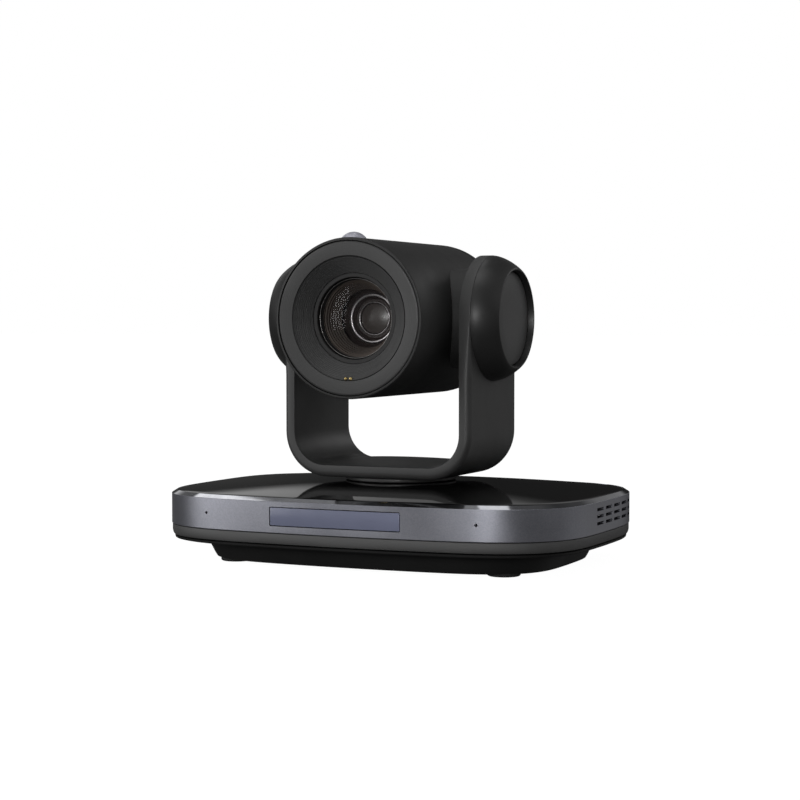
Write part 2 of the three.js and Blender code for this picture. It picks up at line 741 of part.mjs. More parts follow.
function buildZoomGroup() {
  const { radius, front, back, ring, lens } = ZOOM_GROUP;
  return turnedAlongY([
    [0, front + 5],
    [lens - 2, front + 5.6],
    [lens, front + 4.6],
    [ring - 1, front + 2],
    [ring, front],
    [ring + 1.2, front],
    [radius, front + 3.5],
    [radius, back],
    [0, back],
  ]);
}

function buildFocusGroup() {
  const { radius, front, back, lens } = FOCUS_GROUP;
  return turnedAlongY([
    [0, front - 1],
    [lens, front + 0.6],
    [lens + 1, front],
    [radius, front],
    [radius, back],
    [0, back],
  ]);
}

function buildSensorBoard() {
  const { width, front, back } = SENSOR;
  const board = box(width, back - front, width, 0, (front + back) / 2, -width / 2);
  return join(board, box(12, 1.2, 9, 0, front - 0.5, -4.5));
}

function tiltMotorPlace() {
  return TILT_GEAR.tip + TILT_PINION.tip + GAP;
}

function buildTiltMotor() {
  const { radius, inner, outer } = TILT_MOTOR;
  return turnedAlongX(discProfile(radius, inner, outer)).translate([0, tiltMotorPlace(), 0]);
}

function buildTiltPinion() {
  const { teeth, tip } = TILT_PINION;
  const low = TILT_GEAR.inner;
  return solid(spurGear(teeth, tip, 0, low, TILT_GEAR.outer).rotateY(Math.PI / 2));
}

function buildTallyDome() {
  const { radius, height } = TALLY;
  const sphere = (radius ** 2 + height ** 2) / (2 * height);
  const seat = BEZEL.outer + 2 * GAP;
  const profile = [[0, seat], [radius, seat]];
  const halfAngle = Math.asin(radius / sphere);
  for (let step = 0; step <= 6; step++) {
    const turn = halfAngle * (1 - step / 6);
    profile.push([
      step === 6 ? 0 : sphere * Math.sin(turn),
      HEAD_RADIUS + height - sphere * (1 - Math.cos(turn)),
    ]);
  }
  return solid(turned(profile, 32).translate(0, TALLY.y, 0));
}

function buildStatusPoint(side) {
  return postY(STATUS.radius, STATUS.front, STATUS.back, side * STATUS.x, STATUS.z, 12);
}

// ---------------------------------------------------------------- assembly
const camera = new THREE.Group();

const base = new THREE.Group();
camera.add(base);
piece(base, "base_pan", buildBasePan(), deepBlack);
piece(base, "base_skirt", buildSkirt(), matteBlack);
piece(base, "base_band", buildBand(), bandMetal);
piece(base, "top_cover", buildTopCover(), glossBlack);
piece(base, "ir_window", buildWindow(), irPlastic);
piece(base, "ir_receiver", buildReceiver(), deepBlack);
piece(base, "main_board", buildMainBoard(), boardGreen);
piece(base, "heat_sink", buildHeatSink(), aluminium);
piece(base, "chassis_plate", buildChassisPlate(), steel);
piece(base, "pan_motor", buildPanMotor(), steel);
piece(base, "pan_bearing", solid(turned(
  ringProfile(SHAFT.outer + GAP, BEARING.outer, BEARING.bottom, BEARING.top),
)), steel);
piece(base, "tripod_insert", buildInsert(), brass);
piece(base, "rear_panel", buildRearPanel(), deepBlack);
piece(base, "io_board", buildIoBoard(), boardGreen);
buildSockets(base);

for (const [side, sign] of [["left", -1], ["right", 1]]) {
  const capsule = postY(MIC.radius, MIC.front, MIC.front + MIC.length, sign * MIC.x, MIC.z);
  piece(base, "microphone_" + side, capsule, steel);
}
for (const [place, x, y] of fourPlaces(FOOT_PLACE)) {
  piece(base, "foot_" + place, postZ(FOOT_RADIUS, 0, FOOT_HEIGHT, x, y), rubber);
}
for (const [place, x, y] of fourPlaces(SCREW_PLACE)) {
  piece(base, "base_screw_" + place, buildScrew().translate([x, y, 0]), steel);
}

const panPinion = piece(base, "pan_pinion", buildPanPinion(), brass);
const pinionPlace = panMotorPlace();
panPinion.position.set(pinionPlace.x, pinionPlace.y, 0);

const powerSwitch = piece(base, "power_switch", buildSwitch(), deepBlack);
powerSwitch.position.set(SWITCH.x, SWITCH.pivotY, SWITCH.z);
powerSwitch.rotation.x = SWITCH_REST_TILT;

const yoke = new THREE.Group();
camera.add(yoke);
piece(yoke, "yoke_frame", buildYokeFrame(), satinBlack);
piece(yoke, "pan_collar", buildCollar(), satinBlack);
piece(yoke, "pan_shaft", buildShaft(), steel);
piece(yoke, "pan_gear", buildPanGear(), nylon);

const tiltAxle = new THREE.Group();
tiltAxle.position.z = TILT_HEIGHT;
yoke.add(tiltAxle);
for (const [side, sign] of [["left", -1], ["right", 1]]) {
  piece(tiltAxle, "hub_cover_" + side, turnedAlongX(hubCoverProfile(), sign, HUB_SEGMENTS), satinBlack);
  piece(tiltAxle, "hub_cap_" + side, turnedAlongX(hubCapProfile(), sign, HUB_SEGMENTS), matteBlack);
  piece(tiltAxle, "tilt_pivot_" + side, turnedAlongX(pivotProfile(), sign), steel);
}
piece(tiltAxle, "tilt_gear", buildTiltGear(), nylon);

const head = new THREE.Group();
head.position.z = TILT_HEIGHT;
camera.add(head);
piece(head, "head_shell", buildHeadShell(), satinBlack);
piece(head, "rear_cover", buildRearCover(), satinBlack);
piece(head, "front_bezel", buildBezel(), matteBlack);
piece(head, "step_ring", buildStepRing(), matteBlack);
piece(head, "lens_barrel", buildBarrel(), deepBlack);
piece(head, "lens_ring", buildLensRing(), deepBlack);
piece(head, "front_element", buildFrontElement(), glass);
piece(head, "zoom_group", buildZoomGroup(), deepBlack);
piece(head, "focus_group", buildFocusGroup(), deepBlack);
piece(head, "sensor_board", buildSensorBoard(), boardGreen);
piece(head, "tilt_motor", buildTiltMotor(), steel);
piece(head, "tally_dome", buildTallyDome(), opalWhite);
for (const [side, sign] of [["left", -1], ["right", 1]]) {
  const { inner, outer, start, end } = TILT_BEARING;
  piece(head, "tilt_bearing_" + side, turnedAlongX(ringProfile(inner, outer, start, end), sign), steel);
  piece(head, "status_point_" + side, buildStatusPoint(sign), gold);
}
const tiltPinion = piece(head, "tilt_pinion", buildTiltPinion(), brass);
tiltPinion.position.y = tiltMotorPlace();

export default camera;
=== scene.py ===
"""Looks of a PTZ conference camera: a wide low base, a yoke that pans on it and a head that tilts in the yoke.

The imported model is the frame. Everything is in its axes: +Z up, the front faces -Y, the pan axis is
x = y = 0 and the tilt axis runs along X. Sizes in the classes are millimetres, and Blender's are metres.
"""

from __future__ import annotations

import json
import logging
import math
from dataclasses import dataclass, field
from enum import Enum
from typing import Callable, Iterable, Sequence

import bpy
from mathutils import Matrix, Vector

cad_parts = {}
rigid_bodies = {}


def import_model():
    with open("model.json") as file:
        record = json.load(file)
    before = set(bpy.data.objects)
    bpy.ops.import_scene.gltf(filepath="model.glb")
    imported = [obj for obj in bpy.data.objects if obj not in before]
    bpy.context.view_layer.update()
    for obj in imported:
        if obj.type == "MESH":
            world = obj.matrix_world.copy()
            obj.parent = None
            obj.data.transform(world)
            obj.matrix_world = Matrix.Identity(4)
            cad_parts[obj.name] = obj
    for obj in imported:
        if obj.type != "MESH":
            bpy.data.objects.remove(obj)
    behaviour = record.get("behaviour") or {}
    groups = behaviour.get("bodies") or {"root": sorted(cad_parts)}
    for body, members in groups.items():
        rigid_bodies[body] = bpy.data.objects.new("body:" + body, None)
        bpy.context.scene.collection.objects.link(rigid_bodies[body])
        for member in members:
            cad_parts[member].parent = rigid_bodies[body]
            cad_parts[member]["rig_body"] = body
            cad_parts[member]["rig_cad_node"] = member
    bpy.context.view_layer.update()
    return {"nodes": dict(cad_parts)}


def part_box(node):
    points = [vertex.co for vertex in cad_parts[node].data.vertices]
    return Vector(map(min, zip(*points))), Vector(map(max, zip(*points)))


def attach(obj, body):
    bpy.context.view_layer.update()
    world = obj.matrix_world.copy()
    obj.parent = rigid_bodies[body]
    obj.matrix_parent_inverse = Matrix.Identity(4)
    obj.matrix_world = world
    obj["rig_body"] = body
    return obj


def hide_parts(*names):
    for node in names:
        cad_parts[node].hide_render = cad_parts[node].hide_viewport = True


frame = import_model()

log = logging.getLogger("ptz_camera")

MM = 0.001
RING_COUNT = 128  # points round a turned piece
OUTLINE_COUNT = 256  # points round the base
MERGE_DISTANCE = 1e-6
CUT_MARGIN = 5.0  # how far a cutter reaches past what it cuts
CUT_DEPTH = 20.0  # thickness of a cutter that goes through a wall of the base
TILT_HEIGHT = 129.9  # the tilt axis and the lens axis above the ground

Object = bpy.types.Object
Material = bpy.types.Material
Node = bpy.types.Node
Tree = bpy.types.NodeTree
Socket = bpy.types.NodeSocket
Point = tuple[float, float, float]


# ---------------------------------------------------------------- materials
def linear(hex_colour: str) -> tuple[float, float, float, float]:
    """An sRGB hex colour as linear RGBA.

    Args:
        hex_colour: six hex digits after a hash.

    Returns:
        The four linear channels.
    """
    channels = [int(hex_colour[i : i + 2], 16) / 255 for i in (1, 3, 5)]
    curved = [c / 12.92 if c <= 0.04045 else ((c + 0.055) / 1.055) ** 2.4 for c in channels]
    return curved[0], curved[1], curved[2], 1.0


def add_node(
    tree: Tree,
    kind: str,
    values: dict[str | int, object] | None = None,
    links: dict[str | int, Socket] | None = None,
    **settings: object,
) -> Node:
    """Adds a node with its settings, its unlinked input values and its links.

    Args:
        tree: the node tree.
        kind: the node's type name.
        values: input values by socket name or number.
        links: source sockets by input name or number.
        settings: the node's own properties.

    Returns:
        The new node.
    """
    made = tree.nodes.new(kind)
    for name, setting in settings.items():
        setattr(made, name, setting)
    for socket, value in (values or {}).items():
        made.inputs[socket].default_value = value
    for socket, source in (links or {}).items():
        tree.links.new(source, made.inputs[socket])
    return made


def add_ramp(tree: Tree, source: Socket, stops: Sequence[tuple[float, str]]) -> Socket:
    """Colours a value.

    Args:
        tree: the node tree.
        source: the value, 0 to 1.
        stops: places and their sRGB colours.

    Returns:
        The colour socket.
    """
    ramp = add_node(tree, "ShaderNodeValToRGB", links={"Fac": source})
    elements = ramp.color_ramp.elements
    while len(elements) < len(stops):
        elements.new(0.5)
    for element, (place, colour) in zip(elements, stops):
        element.position = place
        element.color = linear(colour)
    return ramp.outputs["Color"]


@dataclass(frozen=True)
class Finish:
    """A surface finish: one material, made when it is first used."""

    name: str

    def material(self) -> Material:
        """The finish's material."""
        made = bpy.data.materials.get(self.name)
        if made is None:
            made = bpy.data.materials.new(self.name)
            made.use_nodes = True
            tree = made.node_tree
            tree.nodes.clear()
            shader = add_node(tree, "ShaderNodeBsdfPrincipled")
            add_node(tree, "ShaderNodeOutputMaterial", links={"Surface": shader.outputs["BSDF"]})
            self.dress(tree, shader)
        return made

    def dress(self, tree: Tree, shader: Node) -> None:
        """Fills the shader's sockets; each kind of finish has its own way."""
        raise NotImplementedError

    def noise(self, tree: Tree, size: float, detail: float = 2, stretch: Point = (1, 1, 1)) -> Socket:
        """A noise pattern on the object's own coordinates.

        Args:
            tree: the node tree.
            size: millimetres across one patch.
            detail: how many finer layers it has.
            stretch: pattern scale along each axis.

        Returns:
            The value socket.
        """
        place = add_node(tree, "ShaderNodeTexCoord").outputs["Object"]
        turned = add_node(tree, "ShaderNodeMapping", values={"Scale": stretch}, links={"Vector": place})
        values = {"Scale": 1 / (size * MM), "Detail": detail, "Roughness": 0.55}
        links = {"Vector": turned.outputs["Vector"]}
        return add_node(tree, "ShaderNodeTexNoise", values=values, links=links).outputs["Fac"]

    def spread(self, tree: Tree, source: Socket, low: float, high: float) -> Socket:
        """A noise value stretched over a range.

        Args:
            tree: the node tree.
            source: the noise value.
            low: the least result.
            high: the greatest result.

        Returns:
            The value socket.
        """
        values = {"From Min": 0.3, "From Max": 0.7, "To Min": low, "To Max": high}
        return add_node(tree, "ShaderNodeMapRange", values=values, links={"Value": source}).outputs["Result"]

    def gloss(self, tree: Tree, shader: Node, source: Socket, low: float, high: float) -> None:
        """Lets the roughness run between two values with a noise value."""
        tree.links.new(self.spread(tree, source, low, high), shader.inputs["Roughness"])

    def relief(self, tree: Tree, shader: Node, height: Socket, strength: float, depth: float) -> None:
        """Raises a pattern on the surface.

        Args:
            tree: the node tree.
            shader: the surface.
            height: the pattern.
            strength: how much of it shows.
            depth: its depth in millimetres.
        """
        values = {"Strength": strength, "Distance": depth * MM}
        bump = add_node(tree, "ShaderNodeBump", values=values, links={"Height": height})
        tree.links.new(bump.outputs["Normal"], shader.inputs["Normal"])


@dataclass(frozen=True)
class MouldedPlastic(Finish):
    """Injection moulded ABS from a spark-eroded tool: an even fine grain that scatters the highlight.

    Handling leaves slightly smoother patches, which show as soft changes in gloss.
    """

    dark: str
    light: str
    roughness: float
    grain: float = 0.35  # real grain is 0.1 mm; drawn coarser so that it shows
    depth: float = 0.012
    gloss_change: float = 0.06
    specular: float = 0.5

    def dress(self, tree: Tree, shader: Node) -> None:
        """Grain as bump, patches of gloss and a slight change of tone."""
        grain = self.noise(tree, self.grain, 3)
        patches = self.noise(tree, 26, 2)
        tone = add_ramp(tree, patches, [(0.32, self.dark), (0.68, self.light)])
        low, high = self.roughness - self.gloss_change, self.roughness + self.gloss_change
        tree.links.new(tone, shader.inputs["Base Color"])
        self.gloss(tree, shader, patches, low, high)
        self.relief(tree, shader, grain, 0.6, self.depth)
        shader.inputs["IOR"].default_value = 1.53
        shader.inputs["Specular IOR Level"].default_value = self.specular


@dataclass(frozen=True)
class PolishedPlastic(Finish):
    """Polished acrylic over black or tinted stock: mirror gloss with faint wipe marks and dust."""

    dark: str
    light: str
    roughness: float
    dust: str

    def dress(self, tree: Tree, shader: Node) -> None:
        """Wipe marks in the gloss and a few specks of dust in the colour."""
        wipes = self.noise(tree, 40, 4, (1.0, 0.25, 1.0))
        body = add_ramp(tree, wipes, [(0.3, self.dark), (0.7, self.light)])
        specks = self.noise(tree, 1.4, 1)
        settled = add_node(
            tree, "ShaderNodeMapRange", values={"From Min": 0.76, "From Max": 0.84, "To Max": 0.25},
            links={"Value": specks},
        )
        colour = add_node(
            tree, "ShaderNodeMix", data_type="RGBA", values={7: linear(self.dust)},
            links={0: settled.outputs["Result"], 6: body},
        )
        tree.links.new(colour.outputs[2], shader.inputs["Base Color"])
        self.gloss(tree, shader, wipes, self.roughness * 0.7, self.roughness * 1.5)
        shader.inputs["IOR"].default_value = 1.49


@dataclass(frozen=True)
class MetallicPaint(Finish):
    """Metallic lacquer sprayed on a die-cast band: aluminium flakes under a satin clear coat."""

    dark: str
    light: str
    flake: float = 0.5  # real flakes are 0.03 mm; drawn as coarse as shows
    roughness: float = 0.34

    def dress(self, tree: Tree, shader: Node) -> None:
        """Flakes that change the tone and gloss, cloudy flow of the spray, and a clear coat."""
        place = add_node(tree, "ShaderNodeTexCoord").outputs["Object"]
        flakes = add_node(
            tree, "ShaderNodeTexVoronoi", values={"Scale": 1 / (self.flake * MM)}, links={"Vector": place}
        )
        sparkle = add_node(tree, "ShaderNodeSeparateColor", links={"Color": flakes.outputs["Color"]})
        cloud = self.noise(tree, 30, 3)
        mixed = add_node(
            tree, "ShaderNodeMix", values={0: 0.35}, links={2: cloud, 3: sparkle.outputs["Red"]}
        )
        tone = add_ramp(tree, mixed.outputs[0], [(0.2, self.dark), (0.8, self.light)])
        tree.links.new(tone, shader.inputs["Base Color"])
        self.gloss(tree, shader, cloud, self.roughness - 0.04, self.roughness + 0.05)
        shader.inputs["Metallic"].default_value = 0.85
        shader.inputs["Coat Weight"].default_value = 0.25
        shader.inputs["Coat Roughness"].default_value = 0.22


@dataclass(frozen=True)
class MachinedMetal(Finish):
    """Turned, rolled or plated metal: fine tool lines along one direction and a little tarnish."""

    dark: str
    light: str
    roughness: float = 0.3
    line: float = 0.4
    stretch: Point = (1.0, 1.0, 12.0)

    def dress(self, tree: Tree, shader: Node) -> None:
        """Tool lines as bump and gloss, and tarnish in the colour."""
        lines = self.noise(tree, self.line, 2, self.stretch)
        tarnish = self.noise(tree, 6, 3)
        tree.links.new(
            add_ramp(tree, tarnish, [(0.3, self.dark), (0.65, self.light)]), shader.inputs["Base Color"]
        )
        self.gloss(tree, shader, lines, self.roughness * 0.75, self.roughness * 1.3)
        self.relief(tree, shader, lines, 0.2, 0.01)
        shader.inputs["Metallic"].default_value = 1.0


@dataclass(frozen=True)
class SolderMask(Finish):
    """Epoxy solder mask over copper: glossy green with raised tracks and tinned pads."""

    mask: str = "#163b29"
    track: str = "#23583c"
    pad: str = "#b9b7ae"

    def dress(self, tree: Tree, shader: Node) -> None:
        """Square-cornered tracks in a lighter green, and dots of tin."""
        place = add_node(tree, "ShaderNodeTexCoord").outputs["Object"]
        tracks = add_node(
            tree, "ShaderNodeTexVoronoi", values={"Scale": 1 / (3.2 * MM)}, links={"Vector": place},
            feature="F2", distance="CHEBYCHEV",
        )
        pads = add_node(
            tree, "ShaderNodeTexVoronoi", values={"Scale": 1 / (4.5 * MM), "Randomness": 0.6},
            links={"Vector": place},
        )
        copper = add_ramp(tree, tracks.outputs["Distance"], [(0.62, self.mask), (0.66, self.track)])
        is_pad = add_node(
            tree, "ShaderNodeMath", operation="LESS_THAN", values={1: 0.13},
            links={0: pads.outputs["Distance"]},
        )
        colour = add_node(
            tree, "ShaderNodeMix", data_type="RGBA", values={7: linear(self.pad)},
            links={0: is_pad.outputs["Value"], 6: copper},
        )
        tree.links.new(colour.outputs[2], shader.inputs["Base Color"])
        tree.links.new(is_pad.outputs["Value"], shader.inputs["Metallic"])
        self.gloss(tree, shader, self.noise(tree, 8), 0.28, 0.42)
        self.relief(tree, shader, tracks.outputs["Distance"], 0.4, 0.04)


@dataclass(frozen=True)
class OpalPlastic(Finish):
    """Milky moulded acrylic over an indicator light: light scatters inside it and its face is glossy."""

    dark: str = "#9a9aa4"
    light: str = "#aeaeb8"

    def dress(self, tree: Tree, shader: Node) -> None:
        """A faint cloud in the milk, scattering under a smooth face."""
        cloud = self.noise(tree, 3, 3)
        tone = add_ramp(tree, cloud, [(0.3, self.dark), (0.7, self.light)])
        tree.links.new(tone, shader.inputs["Base Color"])
        self.gloss(tree, shader, cloud, 0.2, 0.3)
        shader.inputs["Subsurface Weight"].default_value = 0.3
        shader.inputs["Subsurface Radius"].default_value = (1.0, 1.0, 1.0)
        shader.inputs["Subsurface Scale"].default_value = 1.2 * MM
        shader.inputs["IOR"].default_value = 1.49


@dataclass(frozen=True)
class CoatedGlass(Finish):
    """Polished optical glass with an anti-reflection coating: nearly clear, with a violet or amber cast."""

    middle: str
    rim: str
    clearness: float = 0.85
    roughness: float = 0.04

    def dress(self, tree: Tree, shader: Node) -> None:
        """The coating's cast changes towards grazing, where the tone also turns lighter as a painted
        reflection, with faint cleaning marks in the gloss.
        """
        edge = add_node(tree, "ShaderNodeLayerWeight", values={"Blend": 0.35})
        # painted reflection: the colour lightens from the middle tone to the rim tone towards grazing
        tone = add_ramp(tree, edge.outputs["Facing"], [(0.1, self.middle), (0.8, self.rim)])
        tree.links.new(tone, shader.inputs["Base Color"])
        self.gloss(tree, shader, self.noise(tree, 7, 3), self.roughness, self.roughness + 0.05)
        shader.inputs["Alpha"].default_value = 1 - self.clearness
        shader.inputs["IOR"].default_value = 1.6


@dataclass(frozen=True)
class TurnedBlack(Finish):
    """Black anodised ring, cut on a lathe: fine concentric tool grooves round the lens axis."""

    dark: str
    light: str
    pitch: float = 0.5  # real grooves are 0.1 mm apart; drawn wide enough to show
    roughness: float = 0.5
    depth: float = 0.02
    painted_shade_side: float = 0.0  # painted shade: how much darker the side towards -X is

    def dress(self, tree: Tree, shader: Node) -> None:
        """Grooves by distance from the lens axis, with a slight drift of tone and painted shade that darkens
        the side towards -X.
        """
        place = add_node(tree, "ShaderNodeTexCoord").outputs["Object"]
        centred = add_node(
            tree, "ShaderNodeMapping", links={"Vector": place},
            values={"Location": (0, 0, -TILT_HEIGHT * MM), "Scale": (1, 0, 1)},
        )
        radius = add_node(
            tree, "ShaderNodeVectorMath", operation="LENGTH", links={0: centred.outputs["Vector"]}
        )
        turns = add_node(
            tree, "ShaderNodeMath", operation="MULTIPLY", values={1: 2 * math.pi / (self.pitch * MM)},
            links={0: radius.outputs["Value"]},
        )
        grooves = add_node(tree, "ShaderNodeMath", operation="SINE", links={0: turns.outputs["Value"]})
        patches = self.noise(tree, 18, 3)
        tone = add_ramp(tree, patches, [(0.3, self.dark), (0.7, self.light)])
        # painted shade: the tone is scaled down towards -X, darkest at -40 mm, for the side the light misses
        across = add_node(tree, "ShaderNodeSeparateXYZ", links={"Vector": place}).outputs["X"]
        values = {"From Min": -40 * MM, "From Max": 34 * MM, "To Min": 1 - self.painted_shade_side, "To Max": 1.0}
        share = add_node(tree, "ShaderNodeMapRange", values=values, links={"Value": across})
        tone = add_node(
            tree, "ShaderNodeVectorMath", operation="SCALE", links={0: tone, "Scale": share.outputs["Result"]}
        ).outputs["Vector"]
        tree.links.new(tone, shader.inputs["Base Color"])
        self.gloss(tree, shader, patches, self.roughness - 0.05, self.roughness + 0.07)
        self.relief(tree, shader, grooves.outputs["Value"], 0.5, self.depth)


PEDESTAL_ABS = MouldedPlastic("abs_moulded_matte_black", "#0f0f0f", "#131313", 0.62, specular=0.25)
SKIRT_ABS = MouldedPlastic("abs_moulded_fine_texture_grey", "#3e3e3e", "#444444", 0.6)
SHELL_ABS = MouldedPlastic("abs_moulded_satin_black", "#212121", "#252525", 0.55, specular=0.35)
YOKE_ABS = MouldedPlastic("abs_moulded_satin_yoke_black", "#343434", "#383838", 0.46, specular=0.4)
HUB_ABS = MouldedPlastic("abs_moulded_satin_hub_black", "#202020", "#242424", 0.4, specular=0.35)
CAP_ABS = MouldedPlastic("abs_moulded_fine_texture_disc", "#464646", "#4a4a4a", 0.55)
RECEIVER_ABS = MouldedPlastic("abs_moulded_deep_black", "#0d0d0d", "#121212", 0.55)
BAND_PAINT = MetallicPaint("metallic_lacquer_grey", "#84858d", "#94959d")
RIM_METAL = MachinedMetal("diamond_cut_bright_edge", "#a0a1a6", "#aeafb3", 0.07, 4.0)
COVER_ACRYLIC = PolishedPlastic("acrylic_piano_black", "#0b0b0b", "#0e0e0e", 0.05, "#3a3a3a")
WINDOW_ACRYLIC = PolishedPlastic("acrylic_infrared_window", "#666a7e", "#6e7288", 0.2, "#6f7390")
FOOT_RUBBER = MouldedPlastic("rubber_moulded_black", "#131313", "#191919", 0.85, 0.6, 0.03)
PLAIN_STEEL = MachinedMetal("steel_zinc_plated", "#8d9095", "#a5a8ad", 0.32)
BLACK_STEEL = MachinedMetal("steel_black_oxide", "#1f2022", "#2c2d30", 0.4)
TURNED_BRASS = MachinedMetal("brass_turned", "#a07c3c", "#bd9850", 0.28)
EXTRUDED_ALUMINIUM = MachinedMetal("aluminium_extruded", "#a4a6aa", "#bcbec2", 0.38)
GEAR_NYLON = MouldedPlastic("nylon_moulded_natural", "#cdc9ba", "#d8d5c8", 0.45)
BOARD_MASK = SolderMask("epoxy_solder_mask_green")
TALLY_OPAL = OpalPlastic("acrylic_opal_indicator")
# painted shade: the bezel and the step ring are painted darker towards -X
BEZEL_BLACK = TurnedBlack("anodised_turned_bezel_painted_shade", "#363636", "#3b3b3b", 0.95, 0.5, 0.02, painted_shade_side=0.6)
STEP_BLACK = TurnedBlack("anodised_turned_step_ring_painted_shade", "#363636", "#3b3b3b", 0.95, 0.5, 0.015, painted_shade_side=0.6)
LENS_BLACK = TurnedBlack("anodised_turned_lens_barrel", "#0b0a0a", "#0e0d0d", 0.6, 0.6, 0.01)
# painted reflection: the black anodised baffles are coloured warm brown for the warm reflections seen inside
# the lens barrel
BAFFLE_PAINTED_REFLECTION = TurnedBlack("anodised_turned_baffle_painted_warm_reflection", "#352e29", "#463d36", 0.9, 0.65, 0.01)
GROUP_BROWN = TurnedBlack("anodised_turned_group_warm", "#2a2422", "#352d2a", 0.7, 0.45, 0.008)
BRIGHT_RING = MachinedMetal("steel_polished_lens_ring", "#b3afb0", "#cfcbcc", 0.3, 0.3, (1, 12, 1))
RING_GREY = MachinedMetal("steel_dark_chrome_edge", "#6b6968", "#7c7a79", 0.35, 0.3, (1, 12, 1))
GOLD_CONTACT = MachinedMetal("gold_plated_pin", "#9a8350", "#c2ae78", 0.3, 0.2)
# painted reflection: both glasses are painted lighter towards grazing
FRONT_GLASS = CoatedGlass("glass_coated_front_element", "#191519", "#4d4448", 0.93, 0.02)
GROUP_GLASS = CoatedGlass("glass_coated_zoom_element", "#4a4542", "#5c5350", 0.0, 0.32)

SIDES = ("left", "right")
CORNERS = {"front_left": (-1, -1), "front_right": (1, -1), "rear_left": (-1, 1), "rear_right": (1, 1)}

CARRIED_OVER: dict[Finish, tuple[str, ...]] = {
    RECEIVER_ABS: ("ir_receiver",),
    BOARD_MASK: ("main_board", "io_board", "sensor_board"),
    EXTRUDED_ALUMINIUM: ("heat_sink",),
    PLAIN_STEEL: (
        "chassis_plate", "pan_bearing", "pan_shaft",
        *(f"{part}_{side}" for part in ("microphone", "tilt_pivot", "tilt_bearing") for side in SIDES),
    ),
    BLACK_STEEL: ("pan_motor", "tilt_motor", *(f"base_screw_{corner}" for corner in CORNERS)),
    TURNED_BRASS: ("tripod_insert", "pan_pinion", "tilt_pinion"),
    GEAR_NYLON: ("pan_gear", "tilt_gear"),
    LENS_BLACK: ("focus_group",),
}


# ---------------------------------------------------------------- modelling
class Ends(Enum):
    """How a run of rings closes."""

    CAPPED = "a flat face at each end"
    JOINED = "the last ring is the first again"


class Axis(Enum):
    """Where a turned piece's own +Z points, as a rotation about X, Y and Z in degrees."""

    UP = (0, 0, 0)
    RIGHT = (0, 90, 0)
    LEFT = (0, -90, 0)
    BACK = (-90, 0, 0)


@dataclass(frozen=True)
class Ring:
    """One ring of a piece: half its width, half its depth and its height, in millimetres."""

    x: float
    y: float
    z: float


def turned(*profile: tuple[float, float]) -> list[Ring]:
    """Rings of a turned piece from pairs of radius and height."""
    return [Ring(radius, radius, height) for radius, height in profile]


TURNS = [2 * math.pi * i / RING_COUNT for i in range(RING_COUNT)]
CIRCLE = [(math.cos(turn), math.sin(turn)) for turn in TURNS]


def deselect() -> None:
    """Leaves edit mode and selects nothing, so that the next operator acts on its own piece only."""
    if bpy.context.mode != "OBJECT":
        bpy.ops.object.mode_set(mode="OBJECT")
    bpy.ops.object.select_all(action="DESELECT")


def activate(piece: Object) -> None:
    """Makes one object the only selected and the active one."""
    deselect()
    piece.select_set(True)
    bpy.context.view_layer.objects.active = piece


def settle() -> None:
    """Puts the active piece's place, turn and size into its mesh."""
    bpy.ops.object.transform_apply(location=True, rotation=True, scale=True)


def clean_up() -> None:
    """Merges doubled points, turns every normal outwards and leaves edit mode."""
    bpy.ops.mesh.select_all(action="SELECT")
    bpy.ops.mesh.remove_doubles(threshold=MERGE_DISTANCE)
    bpy.ops.mesh.normals_make_consistent(inside=False)
    bpy.ops.object.mode_set(mode="OBJECT")


def build_rings(
    name: str, rings: Sequence[Ring], ends: Ends, outline: Sequence[tuple[float, float]] = tuple(CIRCLE)
) -> Object:
    """Models a piece as a run of rings: a circle that is extruded and resized from each ring to the next.

    Args:
        name: the piece's name.
        rings: the rings in order, the outer side running up.
        ends: how the run closes.
        outline: the ring's shape, with half-widths of 1.

    Returns:
        The piece, standing on its own +Z at the origin.
    """
    deselect()
    bpy.ops.mesh.primitive_circle_add(vertices=len(outline), radius=1.0)
    piece = bpy.context.object
    piece.name = piece.data.name = name
    last = rings[0]
    for vertex, (x, y) in zip(piece.data.vertices, outline):
        vertex.co = (x * last.x * MM, y * last.y * MM, last.z * MM)
    bpy.ops.object.mode_set(mode="EDIT")
    bpy.ops.mesh.select_mode(type="EDGE")
    bpy.ops.mesh.select_all(action="SELECT")
    if ends is not Ends.JOINED:
        bpy.ops.mesh.edge_face_add()
    for ring in rings[1:]:
        bpy.ops.mesh.extrude_edges_move(TRANSFORM_OT_translate={"value": (0, 0, (ring.z - last.z) * MM)})
        if (ring.x, ring.y) != (last.x, last.y):
            bpy.ops.transform.resize(
                value=(ring.x / last.x, ring.y / last.y, 1), center_override=(0, 0, ring.z * MM)
            )
        last = ring
    if ends is Ends.CAPPED:
        bpy.ops.mesh.edge_face_add()
    clean_up()
    return piece


def build_block(name: str, size: Point, middle: Point, rounding: float = 0.0, along: int = 1) -> Object:
    """Models a block, with the four edges that run along one axis rounded.

    Args:
        name: the piece's name.
        size: its width, depth and height in millimetres.
        middle: its middle in millimetres.
        rounding: the radius of those edges in millimetres.
        along: 0, 1 or 2 for the axis that the rounded edges run along.

    Returns:
        The block, with its place in its mesh.
    """
    deselect()
    bpy.ops.mesh.primitive_cube_add(size=1, location=Vector(middle) * MM)
    piece = bpy.context.object
    piece.name = piece.data.name = name
    piece.scale = Vector(size) * MM
    settle()
    if rounding:
        select_edges(piece, lambda a, b: abs((a - b).normalized()[along]) > 0.99)
        bpy.ops.mesh.bevel(offset=rounding * MM, segments=8, affect="EDGES")
        bpy.ops.object.mode_set(mode="OBJECT")
    return piece


